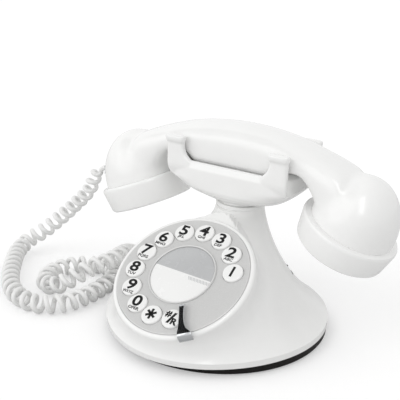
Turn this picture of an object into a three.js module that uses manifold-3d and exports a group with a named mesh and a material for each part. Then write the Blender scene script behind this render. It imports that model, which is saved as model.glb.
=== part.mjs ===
// Desk telephone with a round bell-shaped base, a tilted push-button dial,
// a boat-shaped cradle on a narrow neck and a handset on a curly cord.
// Millimetres, +Z up. The phone faces -Y and the handset lies along X.
import * as THREE from 'three';
import { mergeVertices } from 'three/addons/utils/BufferGeometryUtils.js';
import Module from 'manifold-3d';

const wasm = await Module();
wasm.setup();

// ---------------------------------------------------------------- sizes
const SEAT = 0.3; // gap between pieces that are seated on each other
const WALL = 2.8; // moulded wall of the body
const OVERCUT = 1; // how far a cutting tool runs past the face that it opens

// Base
const BASE_RADIUS = 76.5;
const PLATE_RADIUS = 76;
const PLATE_TOP = 6.1; // height of the black ring above the table
const PLATE_FLOOR = 2.4;
const PLATE_RIM = 4.5;
const LIP_HEIGHT = 3; // upstand of the ring inside the body's skirt
const FOOT_PROUD = 0.8;
const FOOT_RADIUS = 7;
const FOOT_THICKNESS = 2;
const FOOT_CIRCLE = 58;
const SHOULDER_HEIGHT = 10.5; // top of the upright skirt
const SHOULDER_ROUND = 5;
const SCREW_RADIUS = 1.4;
const SCREW_HEAD = 3.1;
const SCREW_CIRCLE = 60;
const BOSS_RADIUS = 4.2;
const BOSS_TOP = 24;
const BOSS_WEB = 2.4; // rib between a screw boss and the wall
const WEB_TOP = 18;
const PILOT_TOP = 16;

// Neck
const NECK_TOP = 79;
const NECK_RADIUS = 16.8;
const NECK_BACK = 25; // the neck stands behind the middle of the base
const FLARE_POWER = 1.67; // how quickly the bell opens below the neck
const COLLAR_RADIUS = 17.4;
const COLLAR_HEIGHT = 2;

// Dial
const DIAL_FORWARD = 47.1;
const DIAL_HEIGHT = 51.8;
const DIAL_TILT = THREE.MathUtils.degToRad(33);
const DIAL_RADIUS = 44.5; // inside of the white rim
const BEZEL_RADIUS = 47.4;
const BEZEL_TOP = 1.6; // the rim's inner edge lies this far below the dial's face
const BEZEL_DEPTH = 3.8;
const POD_RADIUS = 47.4;
const POD_BLEND = 26; // size of the soft fillet between pod and bell
const PANEL_DEPTH = 1; // the grey panel lies this far below the dial's face
const PANEL_THICKNESS = 2;
const PANEL_SKIRT = 4; // height of the panel's outer edge, which stands on the body
const PANEL_SKIRT_WIDTH = 1.4;
const KEY_COUNT = 12;
const KEY_RADIUS = 6.7;
const KEY_CLEARANCE = 0.2;
const KEY_CIRCLE = 33.7;
const KEY_FIRST = THREE.MathUtils.degToRad(18.8);
const KEY_STEP = THREE.MathUtils.degToRad(24.58);
const KEY_PROUD = 1.7;
const KEY_DOME = 1.1;
const KEY_TRAVEL = 1.2;
const LABEL_RADIUS = 21.5;
const LABEL_RING = 1.1;
const LABEL_RISE = 1.2; // height of the label's ring over the panel
const LABEL_THICKNESS = 0.3;
const STOP_ANGLE = THREE.MathUtils.degToRad(302.5);
const STOP_TIP = 26;
const STOP_WIDTH = 8.8;
const STOP_TIP_WIDTH = 3.8;
const STOP_THICKNESS = 1.2;
const STOP_RISE = 2.8; // how far the finger stop stands above the dial's face

// Cradle
const CRADLE_HALF_LENGTH = 46;
const CRADLE_HALF_WIDTH = 26;
const CRADLE_KEEL = 87; // where the boat leaves the stem
const CRADLE_CHINE = 92.5; // crease under the front panel, in the middle
const CRADLE_FLARE = 99; // where the ends stop leaning out
const CRADLE_BEVEL = 105.5; // the panels lean in above this height
const CRADLE_LEAN = 1.8;
const CRADLE_EDGE = 110; // top edge of the front and back panels
const CRADLE_END = 113.5; // top of the end saddles before the handle's seat
const STEM_RADIUS = 15.8;
const TROUGH_FLOOR = 100;
const TROUGH_HALF_LENGTH = 33.5;
const TROUGH_HALF_WIDTH = 22.2;
const PRONG_X = 39.4;
const PRONG_TOP = 126.5;
const PRONG_WIDTH = 12.8;
const PRONG_THICKNESS = 5;
const PRONG_FLARE = 3.6; // how much further in each prong reaches at its root
const PRONG_LIP_WIDTH = 14.8;
const PRONG_LIP_THICKNESS = 6.6;
const PRONG_LIP_HEIGHT = 4;

// Hook plunger
const PLUNGER_RADIUS = 3;
const PLUNGER_CLEARANCE = 0.35;
const PLUNGER_HEAD = 5.5;

// Handset
const CUP_X = 82.65; // middle of each cup's mouth
const CUP_HEIGHT = 81.8;
const CUP_TILT = THREE.MathUtils.degToRad(23.1);
const CUP_RADIUS = 29;
const CUP_DOME = 36.5;
const JACK_RISE = 10.75; // height of the cord socket above the cup's mouth
const JACK_INSET = 0.5;
const CUP_BORE = 25.4;
const CUP_BORE_DEPTH = 11;
const SPIGOT_RADIUS = 27.6;
const SPIGOT_LENGTH = 5;
const CAP_RADIUS = 33.2;
const CAP_FACE_RADIUS = 31;
const CAP_DEPTH = 16.5;
const CAP_EDGE_ROUND = 2.5;
const CAP_FACE_WALL = 2.6;
const CAPSULE_RADIUS = 25;
const CAPSULE_THICKNESS = 8;
const SOUND_HOLE_RADIUS = 1.6;
const SOUND_HOLE_CIRCLE = 9;
const HANDLE_CREST = 137; // top of the handle's bow
const HANDLE_BOW = 229; // radius of the bow
const HANDLE_BELLY = 105.2; // underside between the prongs
const HANDLE_WAIST = 113; // underside over the end saddles
const HANDLE_BELLY_HALF = 27;
const HANDLE_HALF_WIDTH = 19.8;
const HANDLE_SQUARENESS = 2.7; // exponent of the handle's rounded section

// Electrical pieces
const BOARD_THICKNESS = 1.6;
const BOARD_UNDERSIDE = 11;
const SOCKET_X = 16;
const SOCKET_FACE = 62.5; // how far behind the base's middle the socket faces lie
const SOCKET_WIDTH = 13;
const SOCKET_HEIGHT = 11.5;
const SOCKET_LENGTH = 14;
const PLUG_WIDTH = 7.7;
const PLUG_HEIGHT = 6.6;
const PLUG_OUT = 6.5; // how far a seated plug stands out of its socket
const PLUG_IN = 9;
const SWITCH_ANGLE = THREE.MathUtils.degToRad(42);
const SWITCH_HEIGHT = 30;
const SWITCH_TRAVEL = 3;

// Handset cord
const WIRE_RADIUS = 1.8;
const COIL_RADIUS = 5.4; // from the coil's axis to the middle of the wire
const COIL_HANGING_RADIUS = 4;
const HANGING_LENGTH = 95; // the coil widens over this length from the handset
const COIL_EASE = 9; // length over which the first and last curl open
const COIL_CURLS = 70;
const CURL_STEPS = 8;
const WIRE_SIDES = 5;

// ---------------------------------------------------------------- finishes
const WHITE = { color: 0xf1f1ef, roughness: 0.18, metalness: 0 };
const BLACK = { color: 0x1a1715, roughness: 0.55, metalness: 0 };
const RUBBER = { color: 0x111111, roughness: 0.9, metalness: 0 };
const GREY = { color: 0xc9cacb, roughness: 0.3, metalness: 0 };
const LABEL_SILVER = { color: 0xa9abad, roughness: 0.35, metalness: 0.3 };
const CHROME = { color: 0xd8dadc, roughness: 0.08, metalness: 1 };
const STEEL = { color: 0x8d9092, roughness: 0.4, metalness: 1 };
const BOARD_GREEN = { color: 0x2f6b45, roughness: 0.5, metalness: 0 };
const CLEAR = { color: 0xf6f8f8, roughness: 0.05, metalness: 0 };

// ---------------------------------------------------------------- helpers

// Merges a geometry's vertices, drops flat triangles and turns all faces outwards.
function closedSurface(geometry) {
  const bare = new THREE.BufferGeometry();
  bare.setAttribute('position', geometry.getAttribute('position').clone());
  bare.setIndex(geometry.index ? geometry.index.clone() : null);
  const merged = mergeVertices(bare, 1e-3);
  const points = merged.getAttribute('position');
  const index = merged.getIndex().array;
  const kept = [];
  const a = new THREE.Vector3();
  const b = new THREE.Vector3();
  const c = new THREE.Vector3();
  let volume = 0;
  for (let i = 0; i < index.length; i += 3) {
    const [ia, ib, ic] = [index[i], index[i + 1], index[i + 2]];
    if (ia === ib || ib === ic || ic === ia) continue;
    kept.push(ia, ib, ic);
    a.fromBufferAttribute(points, ia);
    b.fromBufferAttribute(points, ib);
    c.fromBufferAttribute(points, ic);
    volume += a.dot(b.cross(c));
  }
  if (volume < 0) kept.reverse();
  merged.setIndex(kept);
  merged.computeVertexNormals();
  return merged;
}

function toSolid(geometry) {
  const surface = closedSurface(geometry);
  return new wasm.Manifold(new wasm.Mesh({
    numProp: 3,
    vertProperties: Float32Array.from(surface.getAttribute('position').array),
    triVerts: Uint32Array.from(surface.getIndex().array),
  }));
}

function toGeometry(solid) {
  const mesh = solid.getMesh();
  const geometry = new THREE.BufferGeometry();
  geometry.setAttribute('position', new THREE.BufferAttribute(mesh.vertProperties, 3));
  geometry.setIndex(new THREE.BufferAttribute(mesh.triVerts, 1));
  return geometry;
}

// Geometry with other geometries joined to it and cut from it.
function shaped(geometry, { join = [], cut = [] }) {
  let solid = toSolid(geometry);
  for (const other of join) solid = solid.add(toSolid(other));
  for (const other of cut) solid = solid.subtract(toSolid(other));
  return toGeometry(solid);
}

// Solid of revolution about Z from [radius, height] points.
function turned(profile, segments) {
  const points = profile.map(([radius, height]) => new THREE.Vector2(radius, height));
  return new THREE.LatheGeometry(points, segments).rotateX(Math.PI / 2);
}

// Upright cylinder or ring between two heights.
function upright(radius, low, high, segments, bore = 0) {
  if (bore > 0) {
    return turned([[bore, low], [radius, low], [radius, high], [bore, high], [bore, low]], segments);
  }
  return new THREE.CylinderGeometry(radius, radius, high - low, segments)
    .rotateX(Math.PI / 2).translate(0, 0, (low + high) / 2);
}

function box(low, high) {
  return new THREE.BoxGeometry(high[0] - low[0], high[1] - low[1], high[2] - low[2]).translate(
    (low[0] + high[0]) / 2, (low[1] + high[1]) / 2, (low[2] + high[2]) / 2);
}

// Closed skin over a list of rings that all have the same number of points. Each
// patch is folded along its shorter diagonal.
function lofted(rings) {
  const size = rings[0].length;
  const positions = [];
  const index = [];
  for (const ring of rings) {
    for (const point of ring) positions.push(point.x, point.y, point.z);
  }
  for (let level = 0; level < rings.length - 1; level += 1) {
    for (let i = 0; i < size; i += 1) {
      const ahead = (i + 1) % size;
      const here = level * size + i;
      const next = level * size + ahead;
      const rising = rings[level][i].distanceTo(rings[level + 1][ahead]);
      const falling = rings[level][ahead].distanceTo(rings[level + 1][i]);
      if (rising <= falling) index.push(here, next, next + size, here, next + size, here + size);
      else index.push(here, next, here + size, next, next + size, here + size);
    }
  }
  for (const level of [0, rings.length - 1]) {
    const middle = new THREE.Vector3();
    for (const point of rings[level]) middle.addScaledVector(point, 1 / size);
    const centre = positions.length / 3;
    positions.push(middle.x, middle.y, middle.z);
    for (let i = 0; i < size; i += 1) {
      const here = level * size + i;
      const next = level * size + (i + 1) % size;
      if (level === 0) index.push(centre, next, here);
      else index.push(centre, here, next);
    }
  }
  const geometry = new THREE.BufferGeometry();
  geometry.setAttribute('position', new THREE.Float32BufferAttribute(positions, 3));
  geometry.setIndex(index);
  return geometry;
}

// Horizontal rounded ring: a superellipse of the given half sizes.
function roundedRing(halfX, halfY, height, power, count, middleX = 0, middleY = 0) {
  const ring = [];
  for (let i = 0; i < count; i += 1) {
    const angle = (i / count) * 2 * Math.PI;
    const cos = Math.cos(angle);
    const sin = Math.sin(angle);
    const reach = (Math.abs(cos) ** power + Math.abs(sin) ** power) ** (-1 / power);
    ring.push(new THREE.Vector3(middleX + halfX * cos * reach, middleY + halfY * sin * reach, height));
  }
  return ring;
}

function smoothStep(low, high, value) {
  const t = THREE.MathUtils.clamp((value - low) / (high - low), 0, 1);
  return t * t * (3 - 2 * t);
}

function addPiece(parent, name, geometry, finish) {
  const mesh = new THREE.Mesh(closedSurface(geometry), new THREE.MeshStandardMaterial(finish));
  mesh.name = name;
  parent.add(mesh);
  return mesh;
}

// ---------------------------------------------------------------- groups
const telephone = new THREE.Group();
const phone = new THREE.Group(); // measured from the middle of the base
telephone.add(phone);

const dial = new THREE.Group(); // +Z out of the dial, zero at the dial's face
dial.position.set(0, -DIAL_FORWARD, DIAL_HEIGHT);
dial.rotation.x = DIAL_TILT;
dial.updateMatrix();
phone.add(dial);

const tower = new THREE.Group(); // pieces that stand over the neck
tower.position.set(0, NECK_BACK, 0);
phone.add(tower);

const handset = new THREE.Group();
tower.add(handset);

// ---------------------------------------------------------------- body shell
// The bell is a stack of circles that drifts back towards the neck. The pod is a
// cylinder along the dial's axis. The two are blended into one soft form.
function bellMiddle(height) {
  return NECK_BACK * smoothStep(SHOULDER_HEIGHT, NECK_TOP - COLLAR_HEIGHT, height);
}

function bellRadius(height) {
  const rise = THREE.MathUtils.clamp((NECK_TOP - height) / (NECK_TOP - SHOULDER_HEIGHT), 0, 1);
  const flare = NECK_RADIUS + (BASE_RADIUS - NECK_RADIUS) * rise ** FLARE_POWER;
  const over = height - SHOULDER_HEIGHT;
  if (over <= 0) return BASE_RADIUS;
  if (over >= SHOULDER_ROUND) return flare;
  const arc = BASE_RADIUS - SHOULDER_ROUND + Math.sqrt(SHOULDER_ROUND ** 2 - over ** 2);
  return Math.min(arc, flare);
}

const dialFromPhone = dial.matrix.clone().invert();
const probe = new THREE.Vector3();

function bodyDistance(x, y, z) {
  const slope = 1 - 0.2 * smoothStep(SHOULDER_HEIGHT, 2 * SHOULDER_HEIGHT, z);
  const bell = slope * (Math.hypot(x, y - bellMiddle(z)) - bellRadius(z));
  probe.set(x, y, z).applyMatrix4(dialFromPhone);
  const pod = Math.hypot(probe.x, probe.y) - POD_RADIUS;
  const near = Math.max(POD_BLEND - Math.abs(bell - pod), 0) / POD_BLEND;
  return Math.min(bell, pod) - near * near * POD_BLEND / 4;
}

const BODY_SIGHT = 10; // the rings are drawn around a point this far forward, low down

// Ring of the blended form at one height, seen from a point inside it that moves
// back with the neck
function bodyRing(height, inset, dialClip, count) {
  const middleY = THREE.MathUtils.lerp(-BODY_SIGHT, NECK_BACK, smoothStep(30, 72, height));
  const outside = (x, y) => {
    probe.set(x, y, height).applyMatrix4(dialFromPhone);
    return Math.max(probe.z - dialClip, bodyDistance(x, y, height) + inset);
  };
  const ring = [];
  for (let i = 0; i < count; i += 1) {
    const angle = (i / count) * 2 * Math.PI;
    const cos = Math.cos(angle);
    const sin = Math.sin(angle);
    let low = 0;
    let high = 2;
    while (outside(cos * high, middleY + sin * high) < 0) {
      low = high;
      high += 2;
    }
    for (let pass = 0; pass < 14; pass += 1) {
      const half = (low + high) / 2;
      if (outside(cos * half, middleY + sin * half) < 0) low = half;
      else high = half;
    }
    ring.push(new THREE.Vector3(cos * low, middleY + sin * low, height));
  }
  return ring;
}

function bodyForm(heights, inset, dialClip, count) {
  return lofted(heights.map((height) => bodyRing(height, inset, dialClip, count)));
}

const LEDGE = PANEL_DEPTH + PANEL_SKIRT + SEAT; // depth of the panel's seat
const LEDGE_WIDTH = 2;
const POD_FACE = BEZEL_DEPTH + SEAT; // the body ends this far below the dial's face

const outerHeights = [PLATE_TOP + SEAT, SHOULDER_HEIGHT, SHOULDER_HEIGHT + SHOULDER_ROUND * 0.5,
  SHOULDER_HEIGHT + SHOULDER_ROUND * 0.87, 20, 27, 34, 42, 50, 57, 63, 68, 72, 75, NECK_TOP];
const innerHeights = [PLATE_TOP - OVERCUT, SHOULDER_HEIGHT, 19, 32, 46, 58, 67, NECK_TOP - WALL - 2];

const switchSite = new THREE.Vector3();
{
  const radius = bellRadius(SWITCH_HEIGHT);
  switchSite.set(radius * Math.cos(SWITCH_ANGLE),
    bellMiddle(SWITCH_HEIGHT) + radius * Math.sin(SWITCH_ANGLE), SWITCH_HEIGHT);
}
const SWITCH_WIDTH = 9;
const SWITCH_TALL = 5;

function atSwitch(geometry) {
  return geometry.rotateZ(SWITCH_ANGLE).translate(switchSite.x, switchSite.y, switchSite.z);
}

const SCREW_ANGLES = [30, 150, 270].map((degrees) => THREE.MathUtils.degToRad(degrees));

function onCircle(radius, angle) {
  return [radius * Math.cos(angle), radius * Math.sin(angle)];
}

{
  const clip = OVERCUT * 8;
  const outer = bodyForm(outerHeights, 0, clip, 48);
  const inner = bodyForm(innerHeights, WALL, -LEDGE - WALL, 28);
  const reach = BEZEL_RADIUS * 2;
  const abovePod = box([-reach, -reach, -POD_FACE], [reach, reach, reach]);
  const cuts = [
    inner,
    abovePod.applyMatrix4(dial.matrix),
    upright(DIAL_RADIUS, -LEDGE, OVERCUT, 40).applyMatrix4(dial.matrix),
    upright(DIAL_RADIUS - LEDGE_WIDTH, -LEDGE - 3 * WALL, -LEDGE + OVERCUT, 28).applyMatrix4(dial.matrix),
    upright(PLUNGER_RADIUS + PLUNGER_CLEARANCE, NECK_TOP - 3 * WALL, NECK_TOP + OVERCUT, 12)
      .translate(0, NECK_BACK, 0),
  ];
  for (const side of [-1, 1]) {
    const low = BOARD_UNDERSIDE + BOARD_THICKNESS;
    cuts.push(box([side * SOCKET_X - SOCKET_WIDTH / 2 - SEAT, SOCKET_FACE - SOCKET_LENGTH, low],
      [side * SOCKET_X + SOCKET_WIDTH / 2 + SEAT, BASE_RADIUS + OVERCUT, low + SOCKET_HEIGHT + 2 * SEAT]));
  }
  cuts.push(atSwitch(box([-4 * WALL, -SWITCH_WIDTH / 2, -SWITCH_TALL / 2],
    [4 * WALL, SWITCH_WIDTH / 2, SWITCH_TALL / 2])));
  let shell = toSolid(outer);
  for (const tool of cuts) shell = shell.subtract(toSolid(tool));
  const bossForm = toSolid(bodyForm([0, ...innerHeights.slice(1)], WALL * 0.5, -LEDGE - WALL, 28));
  for (const angle of SCREW_ANGLES) {
    const [x, y] = onCircle(SCREW_CIRCLE, angle);
    const boss = upright(BOSS_RADIUS, PLATE_FLOOR + FOOT_PROUD + SEAT, BOSS_TOP, 12).translate(x, y, 0);
    const web = box([SCREW_CIRCLE, -BOSS_WEB / 2, PLATE_TOP + LIP_HEIGHT + SEAT],
      [BASE_RADIUS * 1.2, BOSS_WEB / 2, WEB_TOP]).rotateZ(angle);
    const pilot = upright(SCREW_RADIUS + SEAT, 0, PILOT_TOP, 8).translate(x, y, 0);
    const support = toSolid(boss).add(toSolid(web)).intersect(bossForm);
    shell = shell.add(support).subtract(toSolid(pilot));
  }
  addPiece(phone, 'body_shell', toGeometry(shell), WHITE);
}

// ---------------------------------------------------------------- base plate
const FLOOR_LOW = FOOT_PROUD;
const FLOOR_HIGH = FOOT_PROUD + PLATE_FLOOR;
const LIP_RADIUS = BASE_RADIUS - WALL - 3 * SEAT;
const LIP_WIDTH = 2;
const FOOT_ANGLES = [45, 135, 225, 315].map((degrees) => THREE.MathUtils.degToRad(degrees));
const FOOT_POCKET = FOOT_THICKNESS + SEAT;
const BOARD_X = 30;
const BOARD_FRONT = 8;
const BOARD_BACK = 60;
const POST_RADIUS = 3;

{
  const inner = PLATE_RADIUS - PLATE_RIM;
  const plate = turned([[0, FLOOR_LOW], [PLATE_RADIUS - 1, FLOOR_LOW], [PLATE_RADIUS, FLOOR_LOW + 1],
    [PLATE_RADIUS, PLATE_TOP], [LIP_RADIUS, PLATE_TOP], [LIP_RADIUS, PLATE_TOP + LIP_HEIGHT],
    [LIP_RADIUS - LIP_WIDTH, PLATE_TOP + LIP_HEIGHT], [inner - LIP_WIDTH, FLOOR_HIGH], [0, FLOOR_HIGH]], 48);
  const posts = [];
  for (const side of [-1, 1]) {
    for (const y of [BOARD_FRONT + 5, BOARD_BACK - 14]) {
      posts.push(upright(POST_RADIUS, FLOOR_LOW + 1, BOARD_UNDERSIDE - SEAT, 8)
        .translate(side * (BOARD_X - 5), y, 0));
    }
  }
  const holes = [];
  for (const angle of FOOT_ANGLES) {
    const [x, y] = onCircle(FOOT_CIRCLE, angle);
    holes.push(upright(FOOT_RADIUS + SEAT, 0, FOOT_POCKET, 12).translate(x, y, 0));
  }
  for (const angle of SCREW_ANGLES) {
    const [x, y] = onCircle(SCREW_CIRCLE, angle);
    holes.push(upright(SCREW_RADIUS + SEAT, 0, FLOOR_HIGH + OVERCUT, 8).translate(x, y, 0));
    holes.push(upright(SCREW_HEAD + SEAT, 0, FLOOR_LOW + 1.2, 8).translate(x, y, 0));
  }
  addPiece(phone, 'base_plate', shaped(plate, { join: posts, cut: holes }), BLACK);
}

FOOT_ANGLES.forEach((angle, i) => {
  const [x, y] = onCircle(FOOT_CIRCLE, angle);
  const pad = turned([[0, 0], [FOOT_RADIUS - 0.8, 0], [FOOT_RADIUS, 0.6], [FOOT_RADIUS, FOOT_THICKNESS],
    [0, FOOT_THICKNESS]], 12);
  addPiece(phone, `foot_${i + 1}`, pad, RUBBER).position.set(x, y, 0);
});

SCREW_ANGLES.forEach((angle, i) => {
  const [x, y] = onCircle(SCREW_CIRCLE, angle);
  const low = FLOOR_LOW + 0.2;
  const seat = FLOOR_LOW + 1.2 - SEAT;
  const screw = turned([[0, low], [SCREW_HEAD, low], [SCREW_HEAD, seat], [SCREW_RADIUS, seat],
    [SCREW_RADIUS, PILOT_TOP - 3], [0, PILOT_TOP - 1.5]], 8);
  addPiece(phone, `plate_screw_${i + 1}`, screw, STEEL).position.set(x, y, 0);
});

// ---------------------------------------------------------------- inside the base
const BALLAST_WIDTH = 56;
const BALLAST_FRONT = 44;
const BALLAST_DEPTH = 34;
const BALLAST_HEIGHT = 6;
addPiece(phone, 'ballast_weight', box([-BALLAST_WIDTH / 2, -BALLAST_FRONT, FLOOR_HIGH + SEAT],
  [BALLAST_WIDTH / 2, BALLAST_DEPTH - BALLAST_FRONT, FLOOR_HIGH + SEAT + BALLAST_HEIGHT]), STEEL);

const BOARD_TOP = BOARD_UNDERSIDE + BOARD_THICKNESS;
addPiece(phone, 'main_board', box([-BOARD_X, BOARD_FRONT, BOARD_UNDERSIDE],
  [BOARD_X, BOARD_BACK, BOARD_TOP]), BOARD_GREEN);

const RINGER_RADIUS = 13;
const RINGER_HEIGHT = 7;
const RINGER_FORWARD = 16;
const RINGER_SIDE = BALLAST_WIDTH / 2 + RINGER_RADIUS + 2;
addPiece(phone, 'ringer_speaker', turned([[0, FLOOR_HIGH + SEAT], [RINGER_RADIUS, FLOOR_HIGH + SEAT],
  [RINGER_RADIUS, FLOOR_HIGH + SEAT + RINGER_HEIGHT * 0.6],
  [RINGER_RADIUS * 0.6, FLOOR_HIGH + SEAT + RINGER_HEIGHT], [0, FLOOR_HIGH + SEAT + RINGER_HEIGHT]], 16),
BLACK).position.set(RINGER_SIDE, -RINGER_FORWARD, 0);

// Socket with an open mouth towards +Y, drawn around the middle of its mouth.
const SOCKET_WALL = 1.6;
const SOCKET_BORE_WIDTH = PLUG_WIDTH + 2 * SEAT;
const SOCKET_BORE_HEIGHT = PLUG_HEIGHT + 2 * SEAT;

function socketForm(width, height, length) {
  const block = box([-width / 2, -length, -height / 2], [width / 2, 0, height / 2]);
  const bore = box([-SOCKET_BORE_WIDTH / 2, -PLUG_IN - SEAT, -SOCKET_BORE_HEIGHT / 2],
    [SOCKET_BORE_WIDTH / 2, OVERCUT, SOCKET_BORE_HEIGHT / 2]);
  return shaped(block, { cut: [bore] });
}

const socketMiddle = BOARD_TOP + SEAT + SOCKET_HEIGHT / 2;
for (const [name, x] of [['line_socket', SOCKET_X], ['cord_socket', -SOCKET_X]]) {
  const socket = socketForm(SOCKET_WIDTH, SOCKET_HEIGHT, SOCKET_LENGTH - SEAT);
  addPiece(phone, name, socket, BLACK).position.set(x, SOCKET_FACE, socketMiddle);
}

// Ringer switch: a housing behind the slot and a slider that shows in it
const SLIDER_WIDTH = SWITCH_WIDTH - SWITCH_TRAVEL - 2 * SEAT;
addPiece(phone, 'ringer_slider', atSwitch(box([-1.5, -SWITCH_WIDTH / 2 + SEAT, -SWITCH_TALL / 2 + SEAT],
  [0.2, -SWITCH_WIDTH / 2 + SEAT + SLIDER_WIDTH, SWITCH_TALL / 2 - SEAT])
  .translate(-1.5, 0, 0)), BLACK);
addPiece(phone, 'ringer_switch_housing', atSwitch(box([-9, -SWITCH_WIDTH / 2 + SEAT, -SWITCH_TALL / 2 + SEAT],
  [-3 - SEAT, SWITCH_WIDTH / 2 - SEAT, SWITCH_TALL / 2 - SEAT])), BLACK);

// ---------------------------------------------------------------- dial
const PANEL_TOP = -PANEL_DEPTH;
const PANEL_LOW = PANEL_TOP - PANEL_THICKNESS;
const KEY_HOLE = KEY_RADIUS + KEY_CLEARANCE;

function keyPlace(i) {
  return onCircle(KEY_CIRCLE, KEY_FIRST + i * KEY_STEP);
}

// White rim: a quarter-round shoulder between the panel and the pod
{
  const across = BEZEL_RADIUS - DIAL_RADIUS;
  const drop = BEZEL_DEPTH - BEZEL_TOP;
  addPiece(dial, 'dial_bezel', turned([[DIAL_RADIUS, -BEZEL_DEPTH], [DIAL_RADIUS, -BEZEL_TOP],
    [DIAL_RADIUS + across * 0.38, -BEZEL_TOP - drop * 0.08],
    [DIAL_RADIUS + across * 0.71, -BEZEL_TOP - drop * 0.29],
    [DIAL_RADIUS + across * 0.92, -BEZEL_TOP - drop * 0.62],
    [BEZEL_RADIUS, -BEZEL_DEPTH], [DIAL_RADIUS, -BEZEL_DEPTH]], 44), WHITE);
}

// Grey panel with one round hole for each key and a skirt that stands on the body's ledge
{
  const outside = DIAL_RADIUS - SEAT;
  const foot = PANEL_TOP - PANEL_SKIRT;
  const panel = turned([[0, PANEL_LOW], [outside - PANEL_SKIRT_WIDTH, PANEL_LOW],
    [outside - PANEL_SKIRT_WIDTH, foot], [outside, foot], [outside, PANEL_TOP - 0.6],
    [outside - 0.6, PANEL_TOP], [0, PANEL_TOP]], 40);
  const holes = [];
  for (let i = 0; i < KEY_COUNT; i += 1) {
    const [x, y] = keyPlace(i);
    holes.push(upright(KEY_HOLE, PANEL_LOW - OVERCUT, PANEL_TOP + OVERCUT, 12)
      .rotateZ(KEY_FIRST + i * KEY_STEP).translate(x, y, 0));
  }
  addPiece(dial, 'dial_panel', shaped(panel, { cut: holes }), GREY);
}

// Printed label held down by a raised ring
{
  const low = PANEL_TOP + 0.1;
  const outside = LABEL_RADIUS + LABEL_RING;
  const card = upright(LABEL_RADIUS - SEAT, low, low + LABEL_THICKNESS, 28);
  addPiece(dial, 'label_card', card, LABEL_SILVER);
  const top = PANEL_TOP + LABEL_RISE;
  const ring = turned([[LABEL_RADIUS, low], [outside, low], [outside, top - 0.3],
    [LABEL_RADIUS + LABEL_RING / 2, top], [LABEL_RADIUS, top - 0.5], [LABEL_RADIUS, low]], 28);
  addPiece(dial, 'label_ring', ring, GREY);
}

// Push-buttons: domed caps with a tongue on two sides that keeps them behind the panel
const KEY_TONGUE = 0.7;
const KEY_TONGUE_REACH = 1.1;
const KEY_TONGUE_WIDTH = 4;
const KEY_NAMES = ['1', '2', '3', '4', '5', '6', '7', '8', '9', '0', 'star', 'hash'];
const KEY_STEM_LOW = PANEL_LOW - SEAT - KEY_TONGUE;
for (let i = 0; i < KEY_COUNT; i += 1) {
  const [x, y] = keyPlace(i);
  const edge = PANEL_TOP + KEY_PROUD - KEY_DOME;
  const key = turned([[0, KEY_STEM_LOW], [KEY_RADIUS, KEY_STEM_LOW], [KEY_RADIUS, edge],
    [KEY_RADIUS * 0.8, edge + KEY_DOME * 0.65], [0, edge + KEY_DOME]], 12);
  const reach = KEY_RADIUS + KEY_TONGUE_REACH;
  const tongue = box([-reach, -KEY_TONGUE_WIDTH / 2, KEY_STEM_LOW],
    [reach, KEY_TONGUE_WIDTH / 2, KEY_STEM_LOW + KEY_TONGUE]);
  const piece = addPiece(dial, `key_${KEY_NAMES[i]}`, shaped(key, { join: [tongue] }), WHITE);
  piece.position.set(x, y, 0);
  piece.rotation.z = KEY_FIRST + i * KEY_STEP;
}

// Rubber sheet and board behind the keys
const SHEET_THICKNESS = 1.2;
const SHEET_TOP = KEY_STEM_LOW - KEY_TRAVEL - SEAT;
const SHEET_LOW = SHEET_TOP - SHEET_THICKNESS;
const SHEET_RADIUS = DIAL_RADIUS - LEDGE_WIDTH - SEAT;
addPiece(dial, 'keypad_sheet', upright(SHEET_RADIUS, SHEET_LOW, SHEET_TOP, 28), RUBBER);
addPiece(dial, 'keypad_board',
  upright(SHEET_RADIUS, SHEET_LOW - SEAT - BOARD_THICKNESS, SHEET_LOW - SEAT, 28), BOARD_GREEN);

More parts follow.
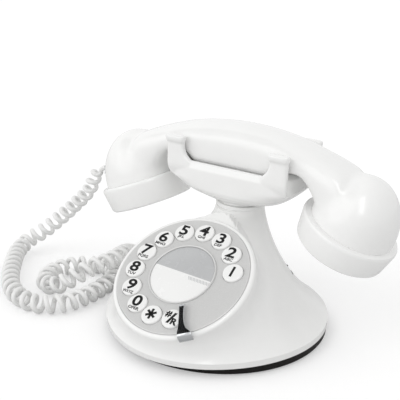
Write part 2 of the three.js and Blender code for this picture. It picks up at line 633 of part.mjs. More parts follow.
// Chrome finger stop: rises over the rim and reaches towards the label
{
  const top = STOP_RISE;
  const low = top - STOP_THICKNESS;
  const skirt = BEZEL_RADIUS + SEAT;
  const side = new THREE.Shape();
  side.moveTo(skirt, -BEZEL_DEPTH);
  side.lineTo(skirt, low - 1.5);
  side.quadraticCurveTo(skirt, low, skirt - 2, low);
  side.lineTo(STOP_TIP + 3, low);
  side.quadraticCurveTo(STOP_TIP, low, STOP_TIP, low - 1.2);
  side.lineTo(STOP_TIP - STOP_THICKNESS, low - 1.2);
  side.quadraticCurveTo(STOP_TIP - STOP_THICKNESS, top, STOP_TIP + 3, top);
  side.lineTo(skirt - 1.6, top);
  side.quadraticCurveTo(skirt + STOP_THICKNESS, top, skirt + STOP_THICKNESS, low - 1.5);
  side.lineTo(skirt + STOP_THICKNESS, -BEZEL_DEPTH);
  const strip = new THREE.ExtrudeGeometry(side, { depth: STOP_WIDTH, bevelEnabled: false, curveSegments: 4 })
    .translate(0, 0, -STOP_WIDTH / 2).rotateX(Math.PI / 2);
  const plan = new THREE.Shape();
  plan.moveTo(STOP_TIP - 2 * STOP_THICKNESS, -STOP_TIP_WIDTH / 2);
  plan.lineTo(STOP_TIP + 2, -STOP_TIP_WIDTH / 2);
  plan.quadraticCurveTo(DIAL_RADIUS - 6, -STOP_TIP_WIDTH / 2 - 0.4, DIAL_RADIUS, -STOP_WIDTH / 2);
  plan.lineTo(skirt + 4, -STOP_WIDTH / 2);
  plan.lineTo(skirt + 4, STOP_WIDTH / 2);
  plan.lineTo(DIAL_RADIUS, STOP_WIDTH / 2);
  plan.quadraticCurveTo(DIAL_RADIUS - 6, STOP_TIP_WIDTH / 2 + 0.4, STOP_TIP + 2, STOP_TIP_WIDTH / 2);
  plan.lineTo(STOP_TIP - 2 * STOP_THICKNESS, STOP_TIP_WIDTH / 2);
  const outline = new THREE.ExtrudeGeometry(plan, { depth: 30, bevelEnabled: false, curveSegments: 5 })
    .translate(0, 0, -15);
  const stop = toSolid(strip).intersect(toSolid(outline));
  addPiece(dial, 'finger_stop', toGeometry(stop), CHROME).rotation.z = STOP_ANGLE;
}

// ---------------------------------------------------------------- handset
// Height of the handle's underside along X: the belly between the prongs, the waist
// over the saddles, and the web that runs down into each cup.
function handleUnder(x) {
  const along = Math.abs(x);
  const cupEdge = CUP_X - CUP_RADIUS * Math.cos(CUP_TILT);
  const belly = HANDLE_BELLY + (HANDLE_WAIST - HANDLE_BELLY)
    * smoothStep(HANDLE_BELLY_HALF, HANDLE_BELLY_HALF + 9, along);
  const web = (HANDLE_WAIST - CUP_HEIGHT) * smoothStep(cupEdge - 17, cupEdge + 8, along) * 0.93;
  return belly - web;
}

function handleTop(x) {
  return HANDLE_CREST - HANDLE_BOW + Math.sqrt(HANDLE_BOW ** 2 - x ** 2);
}

// Rounded section of the handle at one place along X, grown by a margin
function handleRing(x, margin, count) {
  const high = handleTop(x) + margin;
  const low = handleUnder(x) - margin;
  const middle = THREE.MathUtils.lerp(low, high, 0.5);
  const halfWidth = HANDLE_HALF_WIDTH + margin;
  return roundedRing((high - low) / 2, halfWidth, 0, HANDLE_SQUARENESS, count)
    .map((point) => new THREE.Vector3(x, point.y, middle + point.x));
}

function handleForm(margin, reach, count) {
  const stations = [];
  const step = [0, 12, HANDLE_BELLY_HALF - 1, HANDLE_BELLY_HALF + 4.5, HANDLE_BELLY_HALF + 10,
    43, 48, 53, 58, 67, 80];
  for (const x of step) if (x <= reach) stations.push(x);
  const both = [...stations.slice(1).reverse().map((x) => -x), ...stations];
  return lofted(both.map((x) => handleRing(x, margin, count)));
}

// Frame of one end: zero at the cup's mouth, +Z up through the cup's dome
function endFrame(side) {
  const frame = new THREE.Group();
  frame.position.set(side * CUP_X, 0, CUP_HEIGHT);
  frame.rotation.y = side * CUP_TILT;
  frame.updateMatrix();
  return frame;
}

const ends = { mouth: endFrame(-1), ear: endFrame(1) };
handset.add(ends.mouth, ends.ear);

function cupForm() {
  const profile = [[0, 0], [CUP_RADIUS, 0]];
  for (let i = 1; i < 6; i += 1) {
    const angle = (i / 6) * Math.PI / 2;
    profile.push([CUP_RADIUS * Math.cos(angle), CUP_DOME * Math.sin(angle)]);
  }
  profile.push([0, CUP_DOME]);
  return turned(profile, 28);
}

// Middle of the cord socket's mouth, just inside the cup's wall
const jackDepth = CUP_RADIUS * Math.sqrt(1 - (JACK_RISE / CUP_DOME) ** 2) - JACK_INSET;
const jackSite = new THREE.Vector3(-jackDepth, 0, JACK_RISE).applyMatrix4(ends.mouth.matrix);

{
  let shell = toSolid(handleForm(0, 82, 16));
  const farBelow = 60;
  for (const end of [ends.mouth, ends.ear]) {
    const below = box([-farBelow, -farBelow, -farBelow], [farBelow, farBelow, 0]);
    shell = shell.subtract(toSolid(below.applyMatrix4(end.matrix)));
  }
  for (const end of [ends.mouth, ends.ear]) {
    const dome = toSolid(cupForm().applyMatrix4(end.matrix));
    const spigot = toSolid(upright(SPIGOT_RADIUS, -SPIGOT_LENGTH, 1, 28).applyMatrix4(end.matrix));
    shell = shell.add(dome).add(spigot);
  }
  for (const end of [ends.mouth, ends.ear]) {
    const bore = upright(CUP_BORE, -SPIGOT_LENGTH - OVERCUT, CUP_BORE_DEPTH, 20).applyMatrix4(end.matrix);
    shell = shell.subtract(toSolid(bore));
  }
  const roomY = PLUG_WIDTH / 2 + SOCKET_WALL + SEAT;
  const roomZ = PLUG_HEIGHT / 2 + SOCKET_WALL + SEAT;
  const jackRoom = box([jackSite.x - CUP_RADIUS, -roomY, jackSite.z - roomZ],
    [jackSite.x + PLUG_IN + 3, roomY, jackSite.z + roomZ]);
  shell = shell.subtract(toSolid(jackRoom));
  addPiece(handset, 'handset_shell', toGeometry(shell), WHITE);
}

// Screw-on caps with a flat face and a ring of sound holes
for (const [name, end] of [['mouthpiece_cap', ends.mouth], ['earpiece_cap', ends.ear]]) {
  const inner = SPIGOT_RADIUS + SEAT;
  const cap = turned([[0, -CAP_DEPTH], [CAP_FACE_RADIUS - CAP_EDGE_ROUND, -CAP_DEPTH],
    [CAP_FACE_RADIUS, -CAP_DEPTH + CAP_EDGE_ROUND], [CAP_RADIUS, -3], [CAP_RADIUS - 0.8, -0.9],
    [CUP_RADIUS + 0.4, -SEAT], [inner, -SEAT], [inner, -CAP_DEPTH + CAP_FACE_WALL],
    [0, -CAP_DEPTH + CAP_FACE_WALL]], 32);
  const holes = [];
  for (let i = 0; i < 6; i += 1) {
    const [x, y] = onCircle(SOUND_HOLE_CIRCLE, (i / 6) * 2 * Math.PI);
    holes.push(upright(SOUND_HOLE_RADIUS, -CAP_DEPTH - OVERCUT, -CAP_DEPTH + CAP_FACE_WALL + OVERCUT, 6)
      .translate(x, y, 0));
  }
  addPiece(end, name, shaped(cap, { cut: holes }), WHITE);
}

for (const [name, end] of [['microphone_capsule', ends.mouth], ['receiver_capsule', ends.ear]]) {
  const low = -CAP_DEPTH + CAP_FACE_WALL + SEAT;
  addPiece(end, name, upright(CAPSULE_RADIUS, low, low + CAPSULE_THICKNESS, 20), BLACK);
}

// Steel disc that gives the handset its weight, behind the receiver
{
  const low = -CAP_DEPTH + CAP_FACE_WALL + 2 * SEAT + CAPSULE_THICKNESS;
  addPiece(ends.ear, 'handset_weight', upright(CAPSULE_RADIUS - 4, low, low + 9, 16), STEEL);
}

{
  const width = PLUG_WIDTH + 2 * SOCKET_WALL;
  const height = PLUG_HEIGHT + 2 * SOCKET_WALL;
  const jack = socketForm(width, height, PLUG_IN + 2.5).rotateZ(Math.PI / 2);
  addPiece(handset, 'handset_jack', jack, BLACK).position.copy(jackSite);
}

// ---------------------------------------------------------------- cradle
addPiece(tower, 'neck_collar', upright(COLLAR_RADIUS, NECK_TOP + SEAT, NECK_TOP + SEAT + COLLAR_HEIGHT, 28,
  PLUNGER_RADIUS + PLUNGER_CLEARANCE + 4), WHITE);

const STEM_LOW = NECK_TOP + COLLAR_HEIGHT + 2 * SEAT;

{
  const ringSize = 32;
  const rise = CRADLE_FLARE - CRADLE_CHINE;
  const keelReach = CRADLE_HALF_LENGTH * 0.56;
  const spread = CRADLE_HALF_LENGTH - keelReach;
  const upperWidth = CRADLE_HALF_WIDTH - CRADLE_LEAN;
  const hull = [
    roundedRing(STEM_RADIUS, STEM_RADIUS, STEM_LOW, 2, ringSize),
    roundedRing(STEM_RADIUS, STEM_RADIUS, CRADLE_KEEL, 2, ringSize),
    roundedRing(keelReach, CRADLE_HALF_WIDTH - 2.5, CRADLE_CHINE - 1, 2.4, ringSize),
    roundedRing(keelReach + spread * 0.2, CRADLE_HALF_WIDTH, CRADLE_CHINE, 2.8, ringSize),
    roundedRing(keelReach + spread * 0.6, CRADLE_HALF_WIDTH, CRADLE_CHINE + rise * 0.46, 3.2, ringSize),
    roundedRing(keelReach + spread * 0.85, CRADLE_HALF_WIDTH, CRADLE_FLARE, 3.6, ringSize),
    roundedRing(CRADLE_HALF_LENGTH - 0.6, CRADLE_HALF_WIDTH, CRADLE_FLARE + rise * 0.6, 4, ringSize),
    roundedRing(CRADLE_HALF_LENGTH, CRADLE_HALF_WIDTH, CRADLE_BEVEL, 4, ringSize),
    roundedRing(CRADLE_HALF_LENGTH, upperWidth, CRADLE_EDGE, 4, ringSize),
    roundedRing(CRADLE_HALF_LENGTH, upperWidth, CRADLE_END, 4, ringSize),
  ];
  const top = CRADLE_END + OVERCUT;
  const trough = box([-TROUGH_HALF_LENGTH, -TROUGH_HALF_WIDTH, TROUGH_FLOOR],
    [TROUGH_HALF_LENGTH, TROUGH_HALF_WIDTH, top]);
  const sides = box([-TROUGH_HALF_LENGTH + 2, -CRADLE_HALF_WIDTH - OVERCUT, CRADLE_EDGE],
    [TROUGH_HALF_LENGTH - 2, CRADLE_HALF_WIDTH + OVERCUT, top]);
  const seat = handleForm(SEAT, 53, 16);
  const bore = upright(PLUNGER_RADIUS + PLUNGER_CLEARANCE, STEM_LOW - OVERCUT, TROUGH_FLOOR + OVERCUT, 10);
  let cradle = toSolid(lofted(hull));
  for (const tool of [trough, sides]) cradle = cradle.subtract(toSolid(tool));
  for (const sideX of [-1, 1]) {
    for (const sideY of [-1, 1]) {
      const x = sideX * PRONG_X;
      const y = sideY * (CRADLE_HALF_WIDTH - PRONG_THICKNESS / 2);
      const lipLow = PRONG_TOP - PRONG_LIP_HEIGHT;
      const lipY = y + sideY * (PRONG_LIP_THICKNESS - PRONG_THICKNESS) / 2;
      const ring = (halfX, halfY, height, middleY) => (
        roundedRing(halfX, halfY, height, 4, 12, x, middleY));
      const shank = (share, height) => {
        const flare = PRONG_FLARE * share / 2;
        const halfX = PRONG_WIDTH / 2 + flare;
        return roundedRing(halfX, PRONG_THICKNESS / 2, height, 4, 12, x - sideX * flare, y);
      };
      const prong = [
        shank(1, CRADLE_BEVEL),
        shank(0.5, CRADLE_EDGE),
        shank(0.15, CRADLE_END),
        shank(0, CRADLE_END + 3),
        shank(0, lipLow - 1.5),
        ring(PRONG_LIP_WIDTH / 2, PRONG_LIP_THICKNESS / 2, lipLow, lipY),
        ring(PRONG_LIP_WIDTH / 2, PRONG_LIP_THICKNESS / 2, PRONG_TOP - 1.2, lipY),
        ring(PRONG_LIP_WIDTH / 2 - 1.2, PRONG_LIP_THICKNESS / 2 - 1.2, PRONG_TOP, lipY),
      ];
      cradle = cradle.add(toSolid(lofted(prong)));
    }
  }
  cradle = cradle.subtract(toSolid(seat)).subtract(toSolid(bore));
  addPiece(tower, 'cradle', toGeometry(cradle), WHITE);
}

// Hook plunger: head in the trough, rod down the neck to the switch on the board
const SWITCH_TOP = BOARD_TOP + SEAT + 8;
{
  const headTop = HANDLE_BELLY - SEAT;
  const headLow = TROUGH_FLOOR + SEAT;
  addPiece(tower, 'hook_plunger', turned([[0, SWITCH_TOP + SEAT], [PLUNGER_RADIUS - 1, SWITCH_TOP + SEAT],
    [PLUNGER_RADIUS, SWITCH_TOP + SEAT + 1], [PLUNGER_RADIUS, headLow], [PLUNGER_HEAD, headLow],
    [PLUNGER_HEAD, headTop - 1], [PLUNGER_HEAD - 1, headTop], [0, headTop]], 12), WHITE);
}
addPiece(tower, 'hook_switch', box([-6, -4, BOARD_TOP + SEAT], [6, 4, SWITCH_TOP]), BLACK);

// ---------------------------------------------------------------- handset cord
// Plug: a clear block, drawn around the middle of the socket's mouth
function plugForm() {
  return box([-PLUG_WIDTH / 2, -PLUG_IN, -PLUG_HEIGHT / 2], [PLUG_WIDTH / 2, PLUG_OUT, PLUG_HEIGHT / 2]);
}

addPiece(phone, 'base_plug', plugForm(), CLEAR).position.set(-SOCKET_X, SOCKET_FACE, socketMiddle);
addPiece(handset, 'handset_plug', plugForm().rotateZ(Math.PI / 2), CLEAR).position.copy(jackSite);

// Route of the coil's axis, from the handset's plug to the plug in the base
const plugEnd = new THREE.Vector3(jackSite.x - PLUG_OUT, NECK_BACK, jackSite.z);
const socketEnd = new THREE.Vector3(-SOCKET_X, SOCKET_FACE + PLUG_OUT, socketMiddle);
const LYING = 7.4; // height of the coil's axis where it lies on the table
const route = [
  [-124, 25, 79.5], [-131, 25, 72], [-137, 25, 60], [-153, 24, 43], [-166, 21, 30], [-177, 15, 19],
  [-187, 5, 10], [-183, -10, LYING], [-170, -28, LYING], [-154, -47, LYING], [-137, -62, LYING],
  [-120, -69.5, LYING], [-104, -69, LYING], [-92, -59, LYING], [-87, -44, LYING], [-86, -28, LYING],
  [-87, -13, LYING], [-92, 1, LYING], [-104, 8, LYING], [-117, 5, LYING], [-128, -4, LYING],
  [-133, -17, LYING], [-131, -32, LYING], [-122, -42, LYING], [-111, -43, 10], [-101, -36, 16.5],
  [-94, -26, 22], [-89, -10, 23.5], [-90, 7, 23], [-95, 22, 18], [-99, 38, 10], [-97, 54, LYING],
  [-86, 68, LYING], [-72, 79, LYING], [-56, 87, LYING], [-42, 92, LYING], [-32, 93, 9],
];
// Wire without curls between the coil and the base
const leadToBase = [[-26, 92, 12], [-20, 87.5, 16], [-16.5, 81, 18.4]];

// Wire from one lead through the curls around a route to the other lead
function curlyWire(firstLead, points, lastLead) {
  const axis = new THREE.CatmullRomCurve3(points.map((p) => new THREE.Vector3(...p)), false, 'centripetal');
  const count = COIL_CURLS * CURL_STEPS;
  const centres = axis.getSpacedPoints(count);
  const length = axis.getLength();
  const normal = new THREE.Vector3(0, 0, 1);
  const across = new THREE.Vector3();
  const line = [...firstLead];
  for (let i = 0; i <= count; i += 1) {
    const before = centres[Math.max(i - 1, 0)];
    const after = centres[Math.min(i + 1, count)];
    const along = after.clone().sub(before).normalize();
    normal.addScaledVector(along, -normal.dot(along)).normalize();
    across.crossVectors(along, normal);
    const travelled = (i / count) * length;
    const widening = smoothStep(0, HANGING_LENGTH, travelled);
    const ease = smoothStep(0, COIL_EASE, Math.min(travelled, length - travelled));
    const radius = ease * THREE.MathUtils.lerp(COIL_HANGING_RADIUS, COIL_RADIUS, widening);
    const turn = (i / CURL_STEPS) * 2 * Math.PI;
    line.push(centres[i].clone()
      .addScaledVector(normal, radius * Math.cos(turn))
      .addScaledVector(across, radius * Math.sin(turn)));
  }
  line.push(...lastLead);
  return line;
}

// Round tube through a line of points, closed by a flat face at each end
function wireTube(line, firstWay, lastWay) {
  const rings = [];
  const side = new THREE.Vector3(0, 0, 1);
  const other = new THREE.Vector3();
  for (let i = 0; i < line.length; i += 1) {
    const before = line[Math.max(i - 1, 0)];
    const after = line[Math.min(i + 1, line.length - 1)];
    const along = after.clone().sub(before).normalize();
    if (i < 2) along.copy(firstWay);
    if (i > line.length - 3) along.copy(lastWay).negate();
    side.addScaledVector(along, -side.dot(along)).normalize();
    other.crossVectors(along, side);
    const ring = [];
    for (let k = 0; k < WIRE_SIDES; k += 1) {
      const angle = (k / WIRE_SIDES) * 2 * Math.PI;
      ring.push(line[i].clone()
        .addScaledVector(side, WIRE_RADIUS * Math.cos(angle))
        .addScaledVector(other, WIRE_RADIUS * Math.sin(angle)));
    }
    rings.push(ring);
  }
  return lofted(rings);
}

// Least gap between turns, from points along the wire that lie over half a curl apart
function leastGap(line) {
  const dense = [];
  for (let i = 0; i < line.length - 1; i += 1) {
    for (let k = 0; k < 4; k += 1) dense.push(line[i].clone().lerp(line[i + 1], k / 4));
  }
  const halfCurl = 2 * CURL_STEPS;
  let least = Infinity;
  for (let i = 0; i < dense.length; i += 1) {
    for (let k = i + halfCurl; k < dense.length; k += 1) {
      least = Math.min(least, dense[i].distanceTo(dense[k]));
    }
  }
  return least - 2 * WIRE_RADIUS;
}

{
  const outOfHandset = new THREE.Vector3(-1, 0, 0);
  const outOfBase = new THREE.Vector3(0, 1, 0);
  const start = plugEnd.clone().addScaledVector(outOfHandset, SEAT);
  const end = socketEnd.clone().addScaledVector(outOfBase, SEAT);
  const firstLead = [start, start.clone().addScaledVector(outOfHandset, 2 * WIRE_RADIUS)];
  const lastLead = [...leadToBase.map((p) => new THREE.Vector3(...p)),
    end.clone().addScaledVector(outOfBase, 2 * WIRE_RADIUS), end];
  const line = curlyWire(firstLead, route, lastLead);
  let length = 0;
  for (let i = 1; i < line.length; i += 1) length += line[i].distanceTo(line[i - 1]);
  console.log(`cord: wire ${length.toFixed(0)} mm, least gap to itself ${leastGap(line).toFixed(2)} mm`);
  addPiece(phone, 'handset_cord', wireTube(line, outOfHandset, outOfBase), WHITE);
}

// ---------------------------------------------------------------- standing point
// The origin is the middle of the footprint box of everything but the cord.
const CORD_PIECES = ['handset_cord', 'handset_plug', 'base_plug'];
telephone.updateMatrixWorld(true);
const footprint = new THREE.Box3();
phone.traverse((piece) => {
  if (piece.isMesh && !CORD_PIECES.includes(piece.name)) footprint.expandByObject(piece);
});
phone.position.y = -footprint.getCenter(new THREE.Vector3()).y;
console.log('base middle behind the origin, mm:', phone.position.y.toFixed(3));

export default telephone;
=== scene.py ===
"""White desk telephone: bell-shaped base, round push-button dial, cradle and handset on a curly cord."""
import math

import bpy
from mathutils import Matrix, Vector


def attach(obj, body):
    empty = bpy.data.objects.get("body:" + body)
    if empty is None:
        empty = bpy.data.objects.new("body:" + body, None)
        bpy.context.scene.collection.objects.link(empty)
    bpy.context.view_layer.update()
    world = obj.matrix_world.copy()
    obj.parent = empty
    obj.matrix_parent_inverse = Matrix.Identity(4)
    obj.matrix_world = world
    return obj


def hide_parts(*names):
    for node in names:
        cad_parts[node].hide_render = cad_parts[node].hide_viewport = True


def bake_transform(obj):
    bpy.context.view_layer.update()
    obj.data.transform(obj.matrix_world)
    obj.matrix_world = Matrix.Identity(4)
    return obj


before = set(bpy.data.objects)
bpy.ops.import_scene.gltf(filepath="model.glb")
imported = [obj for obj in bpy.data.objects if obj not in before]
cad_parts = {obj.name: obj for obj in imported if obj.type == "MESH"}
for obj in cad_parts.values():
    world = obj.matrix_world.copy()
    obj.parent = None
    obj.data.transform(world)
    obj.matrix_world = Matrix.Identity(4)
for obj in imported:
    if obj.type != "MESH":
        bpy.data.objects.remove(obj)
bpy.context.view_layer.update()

# ---------------------------------------------------------------- Table and studio
# The telephone stands on a table painted white, which runs on behind it as the backdrop.
# A wide soft lamp lights it from the front left, and the white room fills the shadows.
mm = 0.001
base_back = 4.741  # the base's middle lies this far behind the origin


def srgb(code):
    """Linear colour of an sRGB hex value."""
    parts = [int(code[i:i + 2], 16) / 255 for i in (1, 3, 5)]
    return (*[c / 12.92 if c <= 0.04045 else ((c + 0.055) / 1.055) ** 2.4 for c in parts], 1.0)


def feed(tree, node, inputs):
    """Gives each of the node's named sockets a value, or a link from another node's output."""
    for socket, value in inputs.items():
        if isinstance(value, bpy.types.NodeSocket):
            tree.links.new(value, node.inputs[socket])
        else:
            node.inputs[socket].default_value = value


def add(tree, kind, inputs=None, **settings):
    """Adds a node with its settings, and feeds its sockets."""
    new = tree.nodes.new(kind)
    for name, value in settings.items():
        setattr(new, name, value)
    feed(tree, new, inputs or {})
    return new


def finish_of(name):
    """New material with an empty Principled finish; returns it, its tree and the shader."""
    material = bpy.data.materials.new(name)
    material.use_nodes = True
    tree = material.node_tree
    return material, tree, tree.nodes["Principled BSDF"]


def at(x, y, z=0):
    """Shift to a point given in millimetres."""
    return Matrix.Translation((x * mm, y * mm, z * mm))


standing = at(0, base_back)
bpy.ops.object.select_all(action="DESELECT")
bpy.ops.mesh.primitive_plane_add(size=8)
table = bpy.context.object
table.name = "table_top"
# Matt white paint: no gloss, and lifted for the camera alone, so that it fades into the backdrop
table_white, tree, shader = finish_of("painted table top")
seen = add(tree, "ShaderNodeLightPath")
lift = add(tree, "ShaderNodeMath", {0: seen.outputs["Is Camera Ray"], 1: 0.34}, operation="MULTIPLY")
feed(tree, shader, {"Base Color": srgb("#dadada"), "Roughness": 0.9, "Specular IOR Level": 0.1,
                    "Emission Strength": lift.outputs[0], "Emission Color": (1, 1, 1, 1)})
table.data.materials.append(table_white)

# the white room is a little dimmer as light than it is to the eye and in reflections
studio = bpy.data.worlds.new("studio")
studio.use_nodes = True
bpy.context.scene.world = studio
tree = studio.node_tree
seen = add(tree, "ShaderNodeLightPath")
glossy = add(tree, "ShaderNodeMath", {0: seen.outputs["Is Camera Ray"], 1: seen.outputs["Is Glossy Ray"]},
             operation="MAXIMUM")
clear = add(tree, "ShaderNodeMath", {0: glossy.outputs[0], 1: seen.outputs["Is Transmission Ray"]},
            operation="MAXIMUM")
level = add(tree, "ShaderNodeMapRange", {"Value": clear.outputs[0], "To Min": 0.86, "To Max": 1.0})
feed(tree, tree.nodes["Background"], {"Color": (1, 1, 1, 1), "Strength": level.outputs["Result"]})

# a very wide sun for the soft light of the front left
bpy.ops.object.light_add(type="SUN")
lamp = bpy.context.object
lamp.name = "wide_lamp"
lamp.data.energy = 0.72
lamp.data.angle = 1.0
lamp.rotation_euler = Vector((-0.45, -0.72, 0.53)).to_track_quat("Z", "Y").to_euler()

# an upright strip lamp over the camera, which only draws the highlights on the gloss
bpy.ops.object.light_add(type="AREA", location=(0.44, -0.66, 0.86))
lamp = bpy.context.object
lamp.name = "strip_lamp"
lamp.data.shape = "RECTANGLE"
lamp.data.size = 0.28
lamp.data.size_y = 0.8
lamp.data.energy = 2.6
lamp.rotation_euler = Vector((0.44, -0.66, 0.76)).to_track_quat("Z", "Y").to_euler()
lamp.visible_diffuse = False

# a dark cloth above and to the left, which only the chrome and the gloss can see
bpy.ops.object.select_all(action="DESELECT")
bpy.ops.mesh.primitive_plane_add(size=0.9)
flag = bpy.context.object
flag.name = "dark_flag"
facing = Vector((-0.49, -0.15, 0.86)).to_track_quat("Z", "Y")
flag.matrix_world = Matrix.Translation((-0.50, -0.25, 0.95)) @ facing.to_matrix().to_4x4()
bpy.ops.object.transform_apply(location=True, rotation=True, scale=True)
# Black cotton cloth: quite matt, it gives the chrome its dark side
dark_cloth, tree, shader = finish_of("black studio cloth")
feed(tree, shader, {"Base Color": srgb("#1c1c1c"), "Roughness": 1.0})
flag.data.materials.append(dark_cloth)
flag.visible_camera = False
flag.visible_diffuse = False
flag.visible_shadow = False

# the camera, fitted to the photo
bpy.ops.object.camera_add()
camera = bpy.context.object
right = Vector((0.840804, 0.540250, 0.034329))
upward = Vector((-0.207096, 0.262422, 0.942468))
axes = Matrix((right, upward, right.cross(upward))).transposed()
camera.matrix_world = at(252.07, -431.42 + base_back, 263.63) @ axes.to_4x4()
camera.data.sensor_width = 36
camera.data.lens = 71.263
camera.data.clip_start = 0.01
bpy.context.scene.camera = camera
bpy.context.scene.view_settings.view_transform = "Standard"

# ---------------------------------------------------------------- Base plate
# Moulded ring of black ABS that closes the base from below. It has a rim inside the
# body's skirt, four round pockets for the feet and three sunk screw holes.


def turned(name, rings, sides=128, hollow=False):
    """Circle drawn up through (radius, height) rings in millimetres. A hollow one ends where it began."""
    bpy.ops.object.select_all(action="DESELECT")
    radius, height = rings[0]
    bpy.ops.mesh.primitive_circle_add(vertices=sides, radius=radius * mm, location=(0, 0, height * mm),
                                      fill_type="NOTHING" if hollow else "NGON")
    obj = bpy.context.object
    obj.name = name
    bpy.ops.object.transform_apply(location=True)
    bpy.ops.object.mode_set(mode="EDIT")
    bpy.ops.mesh.select_all(action="SELECT")
    for next_radius, next_height in rings[1:]:
        bpy.ops.mesh.extrude_region_move(
            TRANSFORM_OT_translate={"value": (0, 0, (next_height - height) * mm)})
        share = next_radius / radius
        bpy.ops.transform.resize(value=(share, share, 1), center_override=(0, 0, next_height * mm))
        radius, height = next_radius, next_height
    if hollow:
        bpy.ops.mesh.select_all(action="SELECT")
        bpy.ops.mesh.remove_doubles(threshold=0.002 * mm)
    bpy.ops.mesh.select_all(action="SELECT")
    bpy.ops.mesh.normals_make_consistent(inside=False)
    bpy.ops.object.mode_set(mode="OBJECT")
    return obj


def only(obj):
    """Makes obj the one selected and active object."""
    bpy.ops.object.select_all(action="DESELECT")
    obj.select_set(True)
    bpy.context.view_layer.objects.active = obj


def join(parts, name):
    """Joins objects to the first of them."""
    bpy.ops.object.select_all(action="DESELECT")
    for part in parts:
        part.select_set(True)
    bpy.context.view_layer.objects.active = parts[0]
    if len(parts) > 1:
        bpy.ops.object.join()
    parts[0].name = name
    return parts[0]


def carve(obj, tools, operation="DIFFERENCE"):
    """Cuts obj with the tools, or joins it to them, and takes the tools away."""
    for tool in tools:
        only(obj)
        modifier = obj.modifiers.new("carve", "BOOLEAN")
        modifier.operation = operation
        modifier.solver = "EXACT"
        modifier.object = tool
        bpy.ops.object.modifier_apply(modifier=modifier.name)
        bpy.data.objects.remove(tool)
    return obj


def soften(obj, width, segments=3, angle=30):
    """Rounds the edges that are sharper than angle."""
    only(obj)
    modifier = obj.modifiers.new("soften", "BEVEL")
    modifier.width = width * mm
    modifier.segments = segments
    modifier.limit_method = "ANGLE"
    modifier.angle_limit = math.radians(angle)
    bpy.ops.object.modifier_apply(modifier=modifier.name)
    return obj


def settle(obj, place, material, body, replaced=(), angle=35):
    """Puts a finished piece in its place for good, with its finish, body and the nodes it stands for."""
    only(obj)
    obj.matrix_world = place @ obj.matrix_world
    bpy.ops.object.transform_apply(location=True, rotation=True, scale=True)
    bpy.ops.object.shade_smooth_by_angle(angle=math.radians(angle))
    if material:
        obj.data.materials.clear()
        obj.data.materials.append(material)
    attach(obj, body)
    if replaced:
        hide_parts(*replaced)
    return obj


def on_circle(radius, degrees):
    """Point of a circle round the origin."""
    return radius * math.cos(math.radians(degrees)), radius * math.sin(math.radians(degrees))


def copies(obj, places):
    """Moves obj to the first place, and a copy with its own mesh to each of the others."""
    alike = [obj]
    for _ in places[1:]:
        only(obj)
        bpy.ops.object.duplicate()
        alike.append(bpy.context.object)
    for one, place in zip(alike, places):
        one.matrix_world = place @ one.matrix_world
    return alike


# Black ABS, spark-eroded mould: a fine even grain of about 0.5 mm that breaks up the gloss
black_abs, tree, shader = finish_of("grained black ABS")
where = add(tree, "ShaderNodeTexCoord").outputs["Object"]
grain = add(tree, "ShaderNodeTexNoise", {"Vector": where, "Scale": 1 / (0.5 * mm), "Detail": 2.0})
cloudy = add(tree, "ShaderNodeTexNoise", {"Vector": where, "Scale": 1 / (30 * mm), "Detail": 3.0})
tint = add(tree, "ShaderNodeMix", {"Factor": cloudy.outputs["Fac"], "A": srgb("#0c0a09"),
                                   "B": srgb("#14110f")}, data_type="RGBA")
bump = add(tree, "ShaderNodeBump", {"Strength": 0.25, "Distance": 0.05 * mm, "Height": grain.outputs["Fac"]})
feed(tree, shader, {"Base Color": tint.outputs["Result"], "Normal": bump.outputs["Normal"],
                    "Roughness": 0.5, "IOR": 1.54, "Specular IOR Level": 0.2})

foot_places = [at(*on_circle(58, turn)) for turn in (45, 135, 225, 315)]
screw_places = [at(*on_circle(60, turn)) for turn in (30, 150, 270)]
plate = turned("base_ring", [(74.6, 0.8), (75.5, 1.1), (76, 1.8), (76, 6.1), (72.8, 6.1), (72.8, 9.1),
                             (70.8, 9.1), (69.5, 3.2)], 192)
holes = copies(turned("foot_pocket", [(7.3, 0), (7.3, 2.3)], 64), foot_places)
for radius, high in ((3.4, 2.0), (1.7, 5)):
    holes += copies(turned("screw_hole", [(radius, 0), (radius, high)], 48), screw_places)
carve(plate, holes)
settle(plate, standing, black_abs, "base", ["base_plate"])

# ---------------------------------------------------------------- Feet and plate screws
# Four rubber discs pressed into the plate's pockets carry the telephone. Three
# zinc-plated pan-head screws with a cross recess hold the plate to the body.


def turned_by(degrees, axis):
    """Turn about an axis through the origin."""
    return Matrix.Rotation(math.radians(degrees), 4, axis)


def box(size, middle=(0, 0, 0), place=Matrix()):
    """Box with its size and middle in millimetres, in the frame of place."""
    bpy.ops.object.select_all(action="DESELECT")
    bpy.ops.mesh.primitive_cube_add(size=1)
    obj = bpy.context.object
    obj.matrix_world = place @ Matrix.LocRotScale(Vector(middle) * mm, None, Vector(size) * mm)
    return obj


# Moulded rubber: matt, with a dusty bloom in patches of a few millimetres
rubber, tree, shader = finish_of("moulded black rubber")
where = add(tree, "ShaderNodeTexCoord").outputs["Object"]
bloom = add(tree, "ShaderNodeTexNoise", {"Vector": where, "Scale": 1 / (3 * mm), "Detail": 4.0})
tint = add(tree, "ShaderNodeMix", {"Factor": bloom.outputs["Fac"], "A": srgb("#121212"),
                                   "B": srgb("#232323")}, data_type="RGBA")
feed(tree, shader, {"Base Color": tint.outputs["Result"], "Roughness": 0.85, "IOR": 1.52})

